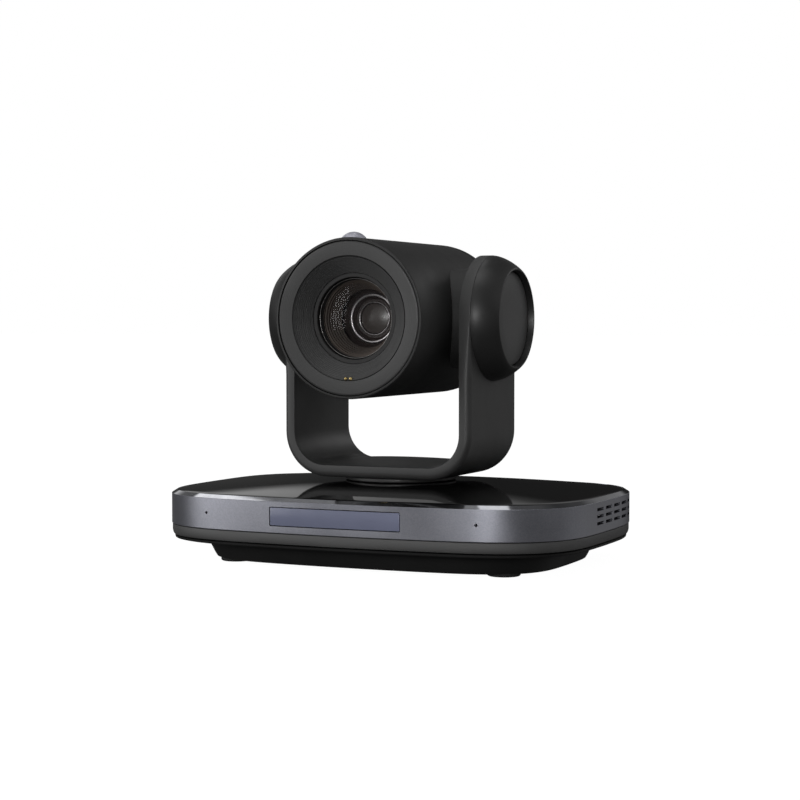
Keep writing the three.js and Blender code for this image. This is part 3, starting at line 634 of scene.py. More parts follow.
def select_edges(piece: Object, chosen: Callable[[Vector, Vector], bool]) -> None:
    """Enters edit mode with the edges selected whose two ends pass a test.

    Args:
        piece: the object to edit.
        chosen: the test, given both ends in metres.
    """
    activate(piece)
    bpy.ops.object.mode_set(mode="EDIT")
    bpy.ops.mesh.select_mode(type="EDGE")
    bpy.ops.mesh.select_all(action="DESELECT")
    bpy.ops.object.mode_set(mode="OBJECT")
    points = piece.data.vertices
    for edge in piece.data.edges:
        a, b = (points[i].co for i in edge.vertices)
        edge.select = chosen(a, b)
    bpy.ops.object.mode_set(mode="EDIT")


def place(piece: Object, axis: Axis, middle: Point = (0, 0, 0)) -> Object:
    """Turns a piece from standing on +Z to its axis, moves it to its middle, and puts both in its mesh.

    Args:
        piece: the object.
        axis: where its own +Z points.
        middle: millimetres.

    Returns:
        The same object.
    """
    activate(piece)
    piece.rotation_euler = [math.radians(angle) for angle in axis.value]
    piece.location = Vector(middle) * MM
    settle()
    return piece


def along_lens(name: str, *profile: tuple[float, float], ends: Ends = Ends.JOINED) -> Object:
    """A piece turned about the lens axis.

    Args:
        name: the piece's name.
        profile: pairs of radius and y in millimetres.
        ends: how the run closes.

    Returns:
        The piece.
    """
    return place(build_rings(name, turned(*profile), ends), Axis.BACK, (0, 0, TILT_HEIGHT))


def combine(piece: Object, tool: Object, operation: str) -> Object:
    """Cuts, joins or intersects a piece with a tool, which is used up.

    Args:
        piece: the object that stays.
        tool: the other solid.
        operation: DIFFERENCE, UNION or INTERSECT.

    Returns:
        The piece.
    """
    activate(piece)
    modifier = piece.modifiers.new("combine", "BOOLEAN")
    modifier.operation = operation
    modifier.solver = "EXACT"
    modifier.use_self = False
    modifier.object = tool
    bpy.ops.object.modifier_apply(modifier=modifier.name)
    bpy.data.objects.remove(tool)
    return piece


def gather(tools: Iterable[Object]) -> Object:
    """Joins tools that stand clear of each other into one object.

    Args:
        tools: the objects.

    Returns:
        The joined object.
    """
    made = list(tools)
    deselect()
    for tool in made:
        tool.select_set(True)
    bpy.context.view_layer.objects.active = made[0]
    bpy.ops.object.join()
    return made[0]


def round_edges(piece: Object, width: float, segments: int = 2, over: float = 40) -> Object:
    """Rounds the sharp edges of a piece.

    Args:
        piece: the object.
        width: millimetres.
        segments: faces across the rounding.
        over: only edges that turn more than this many degrees.

    Returns:
        The same object.
    """
    activate(piece)
    modifier = piece.modifiers.new("rounding", "BEVEL")
    modifier.width = width * MM
    modifier.segments = segments
    modifier.limit_method = "ANGLE"
    modifier.angle_limit = math.radians(over)
    bpy.ops.object.modifier_apply(modifier=modifier.name)
    return piece


def copy_of(piece: Object, name: str) -> Object:
    """A copy of a piece with its own mesh."""
    activate(piece)
    bpy.ops.object.duplicate(linked=False)
    made = bpy.context.object
    made.name = made.data.name = name
    return made


@dataclass
class Dressing:
    """How a finished piece joins the model."""

    body: str
    slot: str
    finish: Finish
    nodes: tuple[str, ...] = ()
    smooth_under: float = 32
    weighted: bool = False  # big faces keep their own normals


def hand_over(piece: Object, dressing: Dressing) -> Object:
    """Smooths, dresses and attaches a finished piece.

    Args:
        piece: the object, with its place in its mesh.
        dressing: its body, slot, finish and the CAD nodes it stands for.

    Returns:
        The same object.
    """
    activate(piece)
    bpy.ops.object.shade_smooth_by_angle(angle=math.radians(dressing.smooth_under))
    if dressing.weighted:
        weighting = piece.modifiers.new("big_faces_stay_flat", "WEIGHTED_NORMAL")
        weighting.keep_sharp = True
        bpy.ops.object.modifier_apply(modifier=weighting.name)
    if not piece.data.materials:
        piece.data.materials.append(dressing.finish.material())
    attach(piece, dressing.body)
    if dressing.nodes:
        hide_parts(*dressing.nodes)
    log.info("%s: %d faces on %s", piece.name, len(piece.data.polygons), dressing.body)
    return piece


# ---------------------------------------------------------------- base
@dataclass
class BaseOutline:
    """The base seen from above: a rounded rectangle with soft corners and bowed sides."""

    half_width: float = 118.0
    half_depth: float = 83.3
    corner_reach: float = 66.5
    corner_power: float = 3.43  # 2 is a circular corner, more is squarer
    front_bow: float = 8.7
    side_bow: float = 3.9
    shape: list[tuple[float, float]] = field(init=False)

    def __post_init__(self) -> None:
        """Works out the evenly spaced points of the outline, with half-widths of 1."""
        walk = self.quarter(400)
        travelled = [0.0]
        for a, b in zip(walk, walk[1:]):
            travelled.append(travelled[-1] + math.dist(a, b))
        steps = OUTLINE_COUNT // 4
        spaced = [self.at(walk, travelled, travelled[-1] * i / steps) for i in range(steps)]
        ends = [self.at(walk, travelled, travelled[-1] * (1 - i / steps)) for i in range(steps)]
        ring = [(x, -y) for x, y in spaced] + ends
        ring += [(-x, y) for x, y in spaced] + [(-x, -y) for x, y in ends]
        self.shape = [(x / self.half_width, y / self.half_depth) for x, y in ring]

    def quarter(self, steps: int) -> list[tuple[float, float]]:
        """One quarter of the outline, from the middle of a long side to the middle of a short side.

        Args:
            steps: points along the corner.

        Returns:
            Points in millimetres.
        """
        flat_x, flat_y = self.half_width - self.corner_reach, self.half_depth - self.corner_reach
        made = [(flat_x * i / steps, self.half_depth) for i in range(steps)]
        for i in range(steps + 1):
            turn = math.pi / 2 * i / steps
            along_x = math.sin(turn) ** (2 / self.corner_power)
            along_y = max(math.cos(turn), 0.0) ** (2 / self.corner_power)
            made.append((flat_x + self.corner_reach * along_x, flat_y + self.corner_reach * along_y))
        made.append((self.half_width, 0.0))
        return [
            (
                x - self.side_bow * (y / self.half_depth) ** 2 * x / self.half_width,
                y - self.front_bow * (x / self.half_width) ** 2 * y / self.half_depth,
            )
            for x, y in made
        ]

    def at(
        self, walk: Sequence[tuple[float, float]], travelled: Sequence[float], distance: float
    ) -> tuple[float, float]:
        """The point a distance along a run of points.

        Args:
            walk: the points.
            travelled: the distance at each point.
            distance: millimetres from the first.

        Returns:
            The point.
        """
        last = next((i for i, far in enumerate(travelled) if far >= distance and i), len(walk) - 1)
        span = travelled[last] - travelled[last - 1]
        share = (distance - travelled[last - 1]) / span if span else 0.0
        (ax, ay), (bx, by) = walk[last - 1], walk[last]
        return ax + (bx - ax) * share, ay + (by - ay) * share

    def ring(self, inset: float, z: float, share: float = 1.0) -> Ring:
        """One ring of the base, drawn in from the outline or shrunk towards the middle."""
        return Ring(share * (self.half_width - inset), share * (self.half_depth - inset), z)

    def build(self, name: str, rings: Sequence[Ring], ends: Ends) -> Object:
        """A piece of the base as a run of rings of this outline."""
        return build_rings(name, rings, ends, self.shape)


@dataclass
class Pedestal:
    """The black undercut foot of the base, its rubber feet and the grey skirt above it."""

    outline: BaseOutline
    bottom: float = 1.5
    lip_top: float = 13.9
    wall: float = 2.6
    foot_radius: float = 8.5
    foot_height: float = 2.4
    foot_x: float = 77.0
    foot_y: float = 44.0
    screw_x: float = 60.0
    screw_y: float = 42.0
    screw_recess: float = 3.2
    screw_depth: float = 6.0
    insert_radius: float = 6.3
    insert_depth: float = 9.0
    skirt_bottom: float = 14.5
    skirt_top: float = 20.0

    def build(self) -> None:
        """Builds the pedestal, the skirt and the feet."""
        self.build_pan()
        self.build_skirt()
        self.build_feet()

    def build_pan(self) -> None:
        """The tray: a flat underside, a sloping wall, a wide undercut shelf and a thin lip."""
        ring = self.outline.ring
        outside = [
            ring(21.9, self.bottom), ring(21.2, self.bottom + 0.3), ring(20.2, 3.6), ring(18.8, 6.8),
            ring(17.9, 8.8), ring(16.9, 9.9), ring(15.2, 10.6), ring(12.2, 11.0), ring(6.2, 11.8),
            ring(3.0, 12.2), ring(1.9, 12.5), ring(1.6, 12.8), ring(1.4, self.lip_top - 0.2),
            ring(1.7, self.lip_top), ring(4.2, self.lip_top),
        ]
        inside = [ring(18.3, 12.6), ring(20.8, 7.4), ring(23.2, 4.0)]
        pan = self.outline.build("pedestal_tray", outside + inside, Ends.CAPPED)
        insert = turned((self.insert_radius, 0), (self.insert_radius, self.insert_depth))
        screw = turned((self.screw_recess, 0), (self.screw_recess, self.screw_depth))
        cutters = [place(build_rings("insert_hole", insert, Ends.CAPPED), Axis.UP)]
        for x, y in CORNERS.values():
            hole = build_rings("screw_hole", screw, Ends.CAPPED)
            cutters.append(place(hole, Axis.UP, (x * self.screw_x, y * self.screw_y, 0)))
        combine(pan, gather(cutters), "DIFFERENCE")
        hand_over(pan, Dressing("base", "pedestal_plastic", PEDESTAL_ABS, ("base_pan",)))

    def build_skirt(self) -> None:
        """The grey skirt, with a fine drip edge below and a shadow gap under the band."""
        ring = self.outline.ring
        low, high = self.skirt_bottom, self.skirt_top
        rings = [
            ring(4.0, high), ring(4.0, low), ring(1.5, low), ring(1.0, low + 0.15), ring(0.7, low + 0.6),
            ring(0.45, low + 1.4), ring(0.3, low + 2.4), ring(0.3, high - 0.4), ring(0.45, high - 0.1),
            ring(0.8, high), ring(4.0, high),
        ]
        skirt = self.outline.build("skirt_ring", rings, Ends.JOINED)
        hand_over(skirt, Dressing("base", "skirt_plastic", SKIRT_ABS, ("base_skirt",)))

    def build_feet(self) -> None:
        """Four rubber feet with a rounded tread and a shallow dish, copied from one."""
        radius, height = self.foot_radius, self.foot_height
        rings = turned(
            (radius, height), (radius, 0.7), (radius - 0.2, 0.3), (radius - 0.7, 0.0), (radius - 2.2, 0.0),
            (radius - 2.6, 0.25), (radius - 3.2, 0.35), (1.0, 0.35),
        )
        first = build_rings("foot_pad_front_left", rings, Ends.CAPPED)
        for corner, (x, y) in CORNERS.items():
            foot = first if corner == "front_left" else copy_of(first, f"foot_pad_{corner}")
            foot.location = Vector((x * self.foot_x, y * self.foot_y, 0)) * MM
        for corner in CORNERS:
            foot = bpy.data.objects[f"foot_pad_{corner}"]
            activate(foot)
            settle()
            hand_over(foot, Dressing("base", "rubber", FOOT_RUBBER, (f"foot_{corner}",)))


@dataclass
class Band:
    """The painted metal band with its bright chamfer, vents, microphone holes and infrared window."""

    outline: BaseOutline
    bottom: float = 20.3
    top: float = 36.5
    rim_top: float = 38.2
    chamfer: float = 2.7
    wall: float = 2.5
    window: Point = (73.4, 10.0, 28.8)  # width, height and middle height
    window_proud: float = 0.15
    mic: Point = (75.8, 28.8, 0.8)  # x, z and hole radius
    slot_size: tuple[float, float] = (10.4, 1.6)
    slot_pitch: tuple[float, float] = (13.6, 3.6)
    slot_first: tuple[float, float] = (-13.1, 25.4)
    slot_columns: int = 5
    slot_rows: int = 3
    rear_opening: Point = (120.0, 21.3, 35.5)  # width, bottom and top
    gap: float = 0.3

    def build(self) -> None:
        """Builds the band and the window."""
        self.build_band()
        self.build_window()

    def build_band(self) -> None:
        """The band: a plain wall with the chamfer on top, then every hole cut in one pass."""
        ring = self.outline.ring
        rings = [
            ring(self.wall, self.bottom), ring(0.35, self.bottom), ring(0.1, self.bottom + 0.1),
            ring(0.0, self.bottom + 0.35), ring(0.0, self.top - 0.15), ring(0.12, self.top),
            ring(self.chamfer - 0.15, self.rim_top), ring(self.chamfer, self.rim_top - 0.15),
            ring(self.chamfer, 35.9), ring(self.wall, 35.3), ring(self.wall, self.bottom),
        ]
        band = self.outline.build("metal_band", rings, Ends.JOINED)
        combine(band, gather(self.cutters()), "DIFFERENCE")
        band.data.materials.append(BAND_PAINT.material())
        band.data.materials.append(RIM_METAL.material())
        for face in band.data.polygons:
            high = min(band.data.vertices[i].co.z for i in face.vertices) > (self.top - 0.02) * MM
            face.material_index = int(high and face.normal.z > 0.5)
        hand_over(band, Dressing("base", "band_metal", BAND_PAINT, ("base_band",), 32, True))

    def cutters(self) -> list[Object]:
        """The solids that cut the window, the microphone holes, the vents and the rear opening."""
        half_width, half_depth = self.outline.half_width, self.outline.half_depth
        width, height, middle = self.window
        made = [build_block("window_hole", (width, CUT_DEPTH, height), (0, -half_depth, middle), 0.8)]
        x, z, radius = self.mic
        for side in (-1, 1):
            post = build_rings("mic_hole", turned((radius, -half_depth - 2), (radius, -72)), Ends.CAPPED)
            made.append(place(post, Axis.BACK, (side * x, 0, z)))
        length, tall = self.slot_size
        for column in range(self.slot_columns):
            for row in range(self.slot_rows):
                y = self.slot_first[0] + column * self.slot_pitch[0]
                z = self.slot_first[1] + row * self.slot_pitch[1]
                for side in (-1, 1):
                    middle = (side * half_width, y, z)
                    made.append(build_block("vent", (CUT_DEPTH, length, tall), middle, 0.5, 0))
        rear_width, low, high = self.rear_opening
        rear_size = (rear_width, CUT_DEPTH, high - low)
        made.append(build_block("rear_hole", rear_size, (0, half_depth, (low + high) / 2), 1.2))
        return made

    def build_window(self) -> None:
        """The infrared window: a strip of the outline, cut to the window's size, with softened edges."""
        ring = self.outline.ring
        low, high, proud = self.bottom, self.top, self.window_proud
        strip = self.outline.build(
            "infrared_window",
            [ring(2, low), ring(proud, low), ring(proud, high), ring(2, high), ring(2, low)], Ends.JOINED,
        )
        width, height, middle = self.window
        size = (width - 3 * self.gap, CUT_DEPTH, height - 3 * self.gap)
        block = build_block("window_size", size, (0, -self.outline.half_depth, middle), 0.6)
        combine(strip, block, "INTERSECT")
        round_edges(strip, 0.2, 2, 50)
        hand_over(strip, Dressing("base", "ir_plastic", WINDOW_ACRYLIC, ("ir_window",)))


@dataclass
class Cover:
    """The polished domed cover on top of the base."""

    outline: BaseOutline
    inset: float = 3.0
    rim: float = 38.2
    top: float = 43.1
    wall: float = 2.0
    flat: float = 0.4  # share of the outline where the dome has levelled out
    power: float = 1.5
    softness: float = 0.08
    steps: int = 22

    def height(self, share: float) -> float:
        """The dome's height at a share of the outline, levelling out smoothly towards the middle."""
        level = self.flat**self.power

        def eased(value: float) -> float:
            """The value above the level, with the turn at the level rounded off."""
            past = value - level
            return level + (past + math.hypot(past, self.softness)) / 2

        fall = (eased(share**self.power) - eased(0)) / (eased(1) - eased(0))
        return self.top - (self.top - self.rim) * fall

    def build(self) -> None:
        """The dome from its underside round the rim to the middle."""
        shares = [1 - 0.8 * (i / self.steps) for i in range(self.steps + 1)]
        ring = self.outline.ring
        under = [ring(self.inset, self.height(s) - self.wall, s) for s in reversed(shares[1:])]
        rim = [
            ring(self.inset, self.rim - self.wall), ring(self.inset, self.rim - 0.3),
            ring(self.inset + 0.1, self.rim - 0.1),
        ]
        over = [ring(self.inset + 0.35, self.rim)] + [ring(self.inset, self.height(s), s) for s in shares[1:]]
        cover = self.outline.build("domed_cover", under + rim + over, Ends.CAPPED)
        hand_over(cover, Dressing("base", "gloss_cover", COVER_ACRYLIC, ("top_cover",), 40))


@dataclass
class RearPanel:
    """The socket plate in the back of the base, its sockets and the rocker switch."""

    corner: float = 0.5

    def build(self) -> None:
        """Softened copies of the plate, the sockets and the switch, with contacts inside the sockets."""
        for node, body, slot, finish in (
            ("rear_panel", "base", "pedestal_plastic", RECEIVER_ABS),
            ("dc_jack", "base", "pedestal_plastic", RECEIVER_ABS),
            ("serial_port", "base", "pedestal_plastic", RECEIVER_ABS),
            ("lan_port", "base", "steel", PLAIN_STEEL),
            ("hdmi_port", "base", "steel", PLAIN_STEEL),
            ("usb_port", "base", "steel", PLAIN_STEEL),
            ("power_switch", "power_switch", "pedestal_plastic", PEDESTAL_ABS),
        ):
            piece = copy_of(frame["nodes"][node], f"{node}_housing")
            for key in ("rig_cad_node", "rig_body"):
                if key in piece:
                    del piece[key]
            piece.parent = None
            piece.data.materials.clear()
            bpy.ops.object.mode_set(mode="EDIT")
            bpy.ops.mesh.select_all(action="SELECT")
            bpy.ops.mesh.remove_doubles(threshold=MERGE_DISTANCE)
            bpy.ops.mesh.dissolve_limited(angle_limit=math.radians(1))
            bpy.ops.object.mode_set(mode="OBJECT")
            round_edges(piece, self.corner / 2, 2, 50)
            hand_over(piece, Dressing(body, slot, finish, (node,)))
        self.build_contacts()

    def build_contacts(self) -> None:
        """Eight sprung gold contacts in the network socket, modelled once and copied."""
        low, high = (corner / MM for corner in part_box("lan_port"))
        middle = (low.x + high.x) / 2
        first = build_block("lan_contact_1", (0.45, 7, 0.45), (middle - 3.6, high.y - 7.4, high.z - 3.2))
        round_edges(first, 0.1)
        contacts = [first]
        for number in range(1, 8):
            made = copy_of(first, f"lan_contact_{number + 1}")
            made.location.x = number * 1.02 * MM
            settle()
            contacts.append(made)
        for contact in contacts:
            hand_over(contact, Dressing("base", "gold_contact", GOLD_CONTACT))


# ---------------------------------------------------------------- yoke
@dataclass
class Yoke:
    """The U-shaped yoke, the collar it turns on and the two hubs at the tilt axis."""

    bottom: float = 45.6
    outer: float = 53.9
    inner: float = 47.7
    half_depth: float = 33.3
    corner: float = 24.0
    edge_rounding: float = 3.4
    top_rounding: float = 0.5  # the same rounding beside the hubs
    crown: float = 3.0  # how far the floor rises in its middle
    crown_reach: float = 40.0
    pivot_hole: float = 10.0
    collar_radius: float = 30.0
    collar_bore: float = 12.5
    collar: tuple[float, float] = (43.4, 45.3)
    hub_big: float = 33.2
    hub_small: float = 26.2
    hub_start: float = 53.98
    hub_end: float = 67.0
    recess: float = 25.3
    ledge: float = 62.0
    cap_face: float = 64.0
    gap: float = 0.3

    def build(self) -> None:
        """Builds the frame, the collar and both hubs."""
        self.build_frame()
        self.build_collar()
        for side, axis in (("right", Axis.RIGHT), ("left", Axis.LEFT)):
            self.build_hub(side, axis)

    def section(self) -> Object:
        """The arm's cross-section at the tilt axis: a thin rectangle with both outer corners well rounded."""
        deselect()
        middle, thickness = (self.inner + self.outer) / 2, self.outer - self.inner
        bpy.ops.mesh.primitive_plane_add(size=1, location=Vector((middle, 0, TILT_HEIGHT)) * MM)
        piece = bpy.context.object
        piece.name = piece.data.name = "yoke_u_frame"
        piece.scale = Vector((thickness, 2 * self.half_depth, 1)) * MM
        settle()
        outer = (self.outer - 0.01) * MM
        bpy.ops.object.mode_set(mode="EDIT")
        bpy.ops.mesh.select_mode(type="VERT")
        bpy.ops.mesh.select_all(action="DESELECT")
        bpy.ops.object.mode_set(mode="OBJECT")
        for vertex in piece.data.vertices:
            vertex.select = vertex.co.x > outer
        bpy.ops.object.mode_set(mode="EDIT")
        bpy.ops.mesh.bevel(offset=self.edge_rounding * MM, segments=8, affect="VERTICES")
        bpy.ops.mesh.select_all(action="SELECT")
        bpy.ops.mesh.delete(type="ONLY_FACE")
        inner = (self.inner + 0.01) * MM
        select_edges(piece, lambda a, b: a.x < inner and b.x < inner)
        bpy.ops.mesh.subdivide(number_cuts=15)
        select_edges(piece, lambda a, b: a.x > outer and b.x > outer)
        bpy.ops.mesh.subdivide(number_cuts=3)
        return piece

    def build_frame(self) -> None:
        """Runs the section down one arm, round both corners and up the other, then spins it over each top."""
        piece = self.section()
        low = self.bottom + self.corner
        bend = self.outer - self.corner
        bpy.ops.mesh.select_all(action="SELECT")
        straight = TILT_HEIGHT - low
        for _ in range(2):
            bpy.ops.mesh.extrude_edges_move(TRANSFORM_OT_translate={"value": (0, 0, -straight / 2 * MM)})
        bpy.ops.mesh.spin(steps=16, angle=-math.pi / 2, center=(bend * MM, 0, low * MM), axis=(0, 1, 0))
        for _ in range(10):
            bpy.ops.mesh.extrude_edges_move(TRANSFORM_OT_translate={"value": (-bend * MM / 5, 0, 0)})
        bpy.ops.mesh.spin(steps=16, angle=-math.pi / 2, center=(-bend * MM, 0, low * MM), axis=(0, 1, 0))
        for _ in range(2):
            bpy.ops.mesh.extrude_edges_move(TRANSFORM_OT_translate={"value": (0, 0, straight / 2 * MM)})
        nearly = (TILT_HEIGHT - 0.01) * MM
        for side in (-1, 1):
            select_edges(
                piece,
                lambda a, b: min(a.z, b.z) > nearly and min(side * a.x, side * b.x) > 0
                and min(a.y, b.y) > -MERGE_DISTANCE,
            )
            bpy.ops.mesh.spin(
                steps=32, angle=-math.pi, center=(0, 0, TILT_HEIGHT * MM), axis=(1, 0, 0)
            )
        clean_up()
        self.sharpen_tops(piece)
        self.raise_floor(piece)
        hole = build_rings("pivot_hole", turned((self.pivot_hole, -70), (self.pivot_hole, 70)), Ends.CAPPED)
        combine(piece, place(hole, Axis.RIGHT, (0, 0, TILT_HEIGHT)), "DIFFERENCE")
        round_edges(piece, 0.45, 3, 50)
        hand_over(piece, Dressing("yoke", "satin_shell", YOKE_ABS, ("yoke_frame",)))

    def sharpen_tops(self, piece: Object) -> None:
        """Narrows the arms' rounding towards the tilt axis, so that each hub grows out of its arm."""
        for vertex in piece.data.vertices:
            x, y, z = vertex.co / MM
            over = z - TILT_HEIGHT
            reach = abs(y) if over < 0 else math.hypot(y, over)
            inward, down = self.outer - abs(x), self.half_depth - reach
            if over < -0.01 or max(inward, down) > self.edge_rounding + 0.01 or reach < 1:
                continue
            keep = self.top_rounding / self.edge_rounding
            vertex.co.x = math.copysign(self.outer - inward * keep, x) * MM
            grown = (self.half_depth - down * keep) / reach
            vertex.co.y = y * grown * MM
            if over > 0:
                vertex.co.z = (TILT_HEIGHT + over * grown) * MM

    def raise_floor(self, piece: Object) -> None:
        """Crowns the yoke's floor: highest in the middle, fading out at its edges and at the corners."""
        floor = self.bottom + self.outer - self.inner
        for vertex in piece.data.vertices:
            x, y, z = vertex.co / MM
            if z > self.bottom + 2 and z < floor + 2 and abs(x) < self.crown_reach:
                across = max(0.0, 1 - (y / self.half_depth) ** 2)
                along = max(0.0, 1 - (x / self.crown_reach) ** 2)
                vertex.co.z += self.crown * across * along**0.5 * MM

    def build_collar(self) -> None:
        """The turntable ring between the yoke and the cover, with a rolled edge."""
        low, high = self.collar
        radius, bore = self.collar_radius, self.collar_bore
        rings = turned(
            (bore, low), (radius - 0.6, low), (radius - 0.15, low + 0.2), (radius, low + 0.6),
            (radius, high - 0.4), (radius - 0.3, high), (bore, high), (bore, low),
        )
        collar = build_rings("turntable_collar", rings, Ends.JOINED)
        hand_over(collar, Dressing("yoke", "satin_shell", YOKE_ABS, ("pan_collar",)))

    def hub_radius(self, reach: float) -> float:
        """The hub cover's outer radius at a distance from the camera's middle."""
        share = (reach - self.hub_start) / (self.hub_end - self.hub_start)
        return self.hub_small + (self.hub_big - self.hub_small) * max(0.0, 1 - share**1.5) ** 0.87

    def build_hub(self, side: str, axis: Axis) -> None:
        """A rounded cone over the pivot, and the disc set in its end.

        Args:
            side: left or right.
            axis: which way it points.
        """
        middle = (0, 0, TILT_HEIGHT)
        length = self.hub_end - self.hub_start
        reaches = [self.hub_start + length * (1 - (1 - i / 18) ** 1.6) for i in range(18)]
        outside = [(self.hub_radius(reach), reach) for reach in reaches]
        roll = [(self.hub_small + 0.25, self.hub_end - 0.25), (self.hub_small - 0.1, self.hub_end)]
        inside = [
            (self.recess + 0.15, self.hub_end - 0.1), (self.recess, self.hub_end - 0.5),
            (self.recess - 0.3, self.ledge), (22, self.ledge), (22, self.ledge - 1.8), (27.6, self.ledge - 1.8),
            (29.6, 57.2), (30.8, self.hub_start), (self.hub_big, self.hub_start),
        ]
        cover = build_rings(f"hub_cone_{side}", turned(*outside, *roll, *inside), Ends.JOINED)
        place(cover, axis, middle)
        hand_over(cover, Dressing("yoke", "satin_shell", HUB_ABS, (f"hub_cover_{side}",), 50))
        radius = self.recess - 0.3 - self.gap
        face = self.cap_face
        rings = turned(
            (radius, self.ledge + self.gap), (radius, face - 0.7), (radius - 0.2, face - 0.25),
            (radius - 0.7, face), (radius * 0.5, face + 0.12), (radius * 0.1, face + 0.15),
        )
        cap = place(build_rings(f"hub_disc_{side}", rings, Ends.CAPPED), axis, middle)
        hand_over(cap, Dressing("yoke", "skirt_plastic", CAP_ABS, (f"hub_cap_{side}",), 40))


# ---------------------------------------------------------------- head
@dataclass
class Head:
    """The round head: its shell with the side bosses, the rear cover, the bezel and the indicators."""

    radius: float = 41.3
    wall: float = 2.4
    front: float = -66.2
    shell_back: float = 42.0
    back: float = 55.0
    back_rounding: float = 8.0
    boss_radius: float = 26.5
    boss_end: float = 46.5
    bearing_hole: float = 14.3
    bezel_outer: float = 39.6
    bezel_inner: float = 31.9
    bezel_back: float = -63.0
    dish: float = 0.5  # how far the bezel's face falls towards the lens
    mouth: float = 31.6
    throat: float = 23.5
    throat_y: float = -58.7
    steps: int = 11
    tally: Point = (6.3, -58.5, 3.0)  # radius, y and height above the shell
    status: Point = (1.4, -30.8, 0.8)  # x, z and radius
    gap: float = 0.3

    def build(self) -> None:
        """Builds each piece of the head's outside."""
        self.build_shell()
        self.build_rear_cover()
        self.build_bezel()
        self.build_step_ring()
        self.build_tally()
        self.build_status_points()

    def build_shell(self) -> None:
        """A tube with a boss on each side, bored out for the works and counterbored for the bezel."""
        radius, inner = self.radius, self.radius - self.wall
        shell = along_lens(
            "head_tube", (radius - 1.0, self.front), (radius - 0.5, self.front + 0.12),
            (radius - 0.15, self.front + 0.45), (radius, self.front + 1.0),
            (radius, -40), (radius, -20), (radius, 0), (radius, 20), (radius, self.shell_back - 0.25),
            (radius - 0.2, self.shell_back), ends=Ends.CAPPED,
        )
        end = self.boss_end
        rings = turned(
            (self.boss_radius - 0.6, -end), (self.boss_radius, -end + 0.6), (self.boss_radius, end - 0.6),
            (self.boss_radius - 0.6, end),
        )
        boss = place(build_rings("side_bosses", rings, Ends.CAPPED), Axis.RIGHT, (0, 0, TILT_HEIGHT))
        combine(shell, boss, "UNION")
        lip = self.bezel_outer + self.gap
        hollow = along_lens(
            "hollow", (lip, self.front - CUT_MARGIN), (lip, self.bezel_back), (inner, self.bezel_back),
            (inner, self.shell_back + CUT_MARGIN), ends=Ends.CAPPED,
        )
        combine(shell, hollow, "DIFFERENCE")
        reach = self.boss_end + CUT_MARGIN
        bore_rings = turned((self.bearing_hole, -reach), (self.bearing_hole, reach))
        bore = build_rings("bearing_bore", bore_rings, Ends.CAPPED)
        combine(shell, place(bore, Axis.RIGHT, (0, 0, TILT_HEIGHT)), "DIFFERENCE")
        tally_radius, tally_y, _ = self.tally
        well = turned((tally_radius + self.gap, 20), (tally_radius + self.gap, 60))
        well_tool = place(build_rings("tally_well", well, Ends.CAPPED), Axis.UP, (0, tally_y, TILT_HEIGHT))
        combine(shell, well_tool, "DIFFERENCE")
        hand_over(shell, Dressing("head", "satin_shell", SHELL_ABS, ("head_shell",), 28))

    def build_rear_cover(self) -> None:
        """A cap with a rounded edge and a fine seam where it meets the shell."""
        radius, inner, edge = self.radius, self.radius - self.wall, self.back_rounding
        start = self.shell_back + self.gap
        curve = []
        for step in range(13):
            turn = math.pi / 2 * step / 12
            curve.append((radius - edge * (1 - math.cos(turn)), self.back - edge * (1 - math.sin(turn))))
        cover = along_lens(
            "rear_cap", (1, self.back - self.wall), (inner - edge + 1, self.back - self.wall),
            (inner, self.back - edge), (inner, start), (radius - 0.2, start), (radius, start + 0.25), *curve,
            (1, self.back), ends=Ends.CAPPED,
        )
        hand_over(cover, Dressing("head", "satin_shell", SHELL_ABS, ("rear_cover",), 40))

    def build_bezel(self) -> None:
        """A flat turned ring, rounded at its outer edge."""
        outer, inner, front = self.bezel_outer, self.bezel_inner, self.front
        back = self.bezel_back - self.gap
        bezel = along_lens(
            "bezel_ring", (inner, back), (inner, front + self.dish + 0.25), (inner + 0.25, front + self.dish),
            (outer - 1.2, front), (outer - 0.6, front + 0.12), (outer - 0.2, front + 0.45),
            (outer, front + 1.0), (outer, back), (inner, back),
        )
        hand_over(bezel, Dressing("head", "skirt_plastic", BEZEL_BLACK, ("front_bezel",)))

    def build_step_ring(self) -> None:
        """A funnel from the bezel down to the lens, scored with fine rings."""
        front = self.front + self.dish + 0.1
        depth, run = self.throat_y - front, self.mouth - self.throat
        slope = [(self.mouth, front)]
        for step in range(1, self.steps + 1):
            share = step / self.steps
            radius, y = self.mouth - run * share, front + depth * share
            slope += [(radius + 0.2, y - 0.2), (radius + 0.17, y - 0.02), (radius, y)]
        ring = along_lens(
            "scored_funnel", (self.mouth, self.throat_y + 2), *slope, (self.throat, self.throat_y + 2),
            (self.mouth, self.throat_y + 2),
        )
        hand_over(ring, Dressing("head", "skirt_plastic", STEP_BLACK, ("step_ring",), 12))

    def build_tally(self) -> None:
        """The indicator dome on top of the head."""
        radius, y, height = self.tally
        sphere = (radius**2 + height**2) / (2 * height)
        half_angle = math.asin(radius / sphere)
        profile = [(radius, self.bezel_outer + 2 * self.gap), (radius, self.radius - 0.3)]
        for step in range(12):
            turn = half_angle * (1 - step / 12)
            top = self.radius + height - sphere * (1 - math.cos(turn))
            profile.append((sphere * math.sin(turn) * 0.995, top))
        profile.append((0.02, self.radius + height))
        dome = build_rings("indicator_dome", turned(*profile), Ends.CAPPED)
        place(dome, Axis.UP, (0, y, TILT_HEIGHT))
        hand_over(dome, Dressing("head", "opal_plastic", TALLY_OPAL, ("tally_dome",), 60))

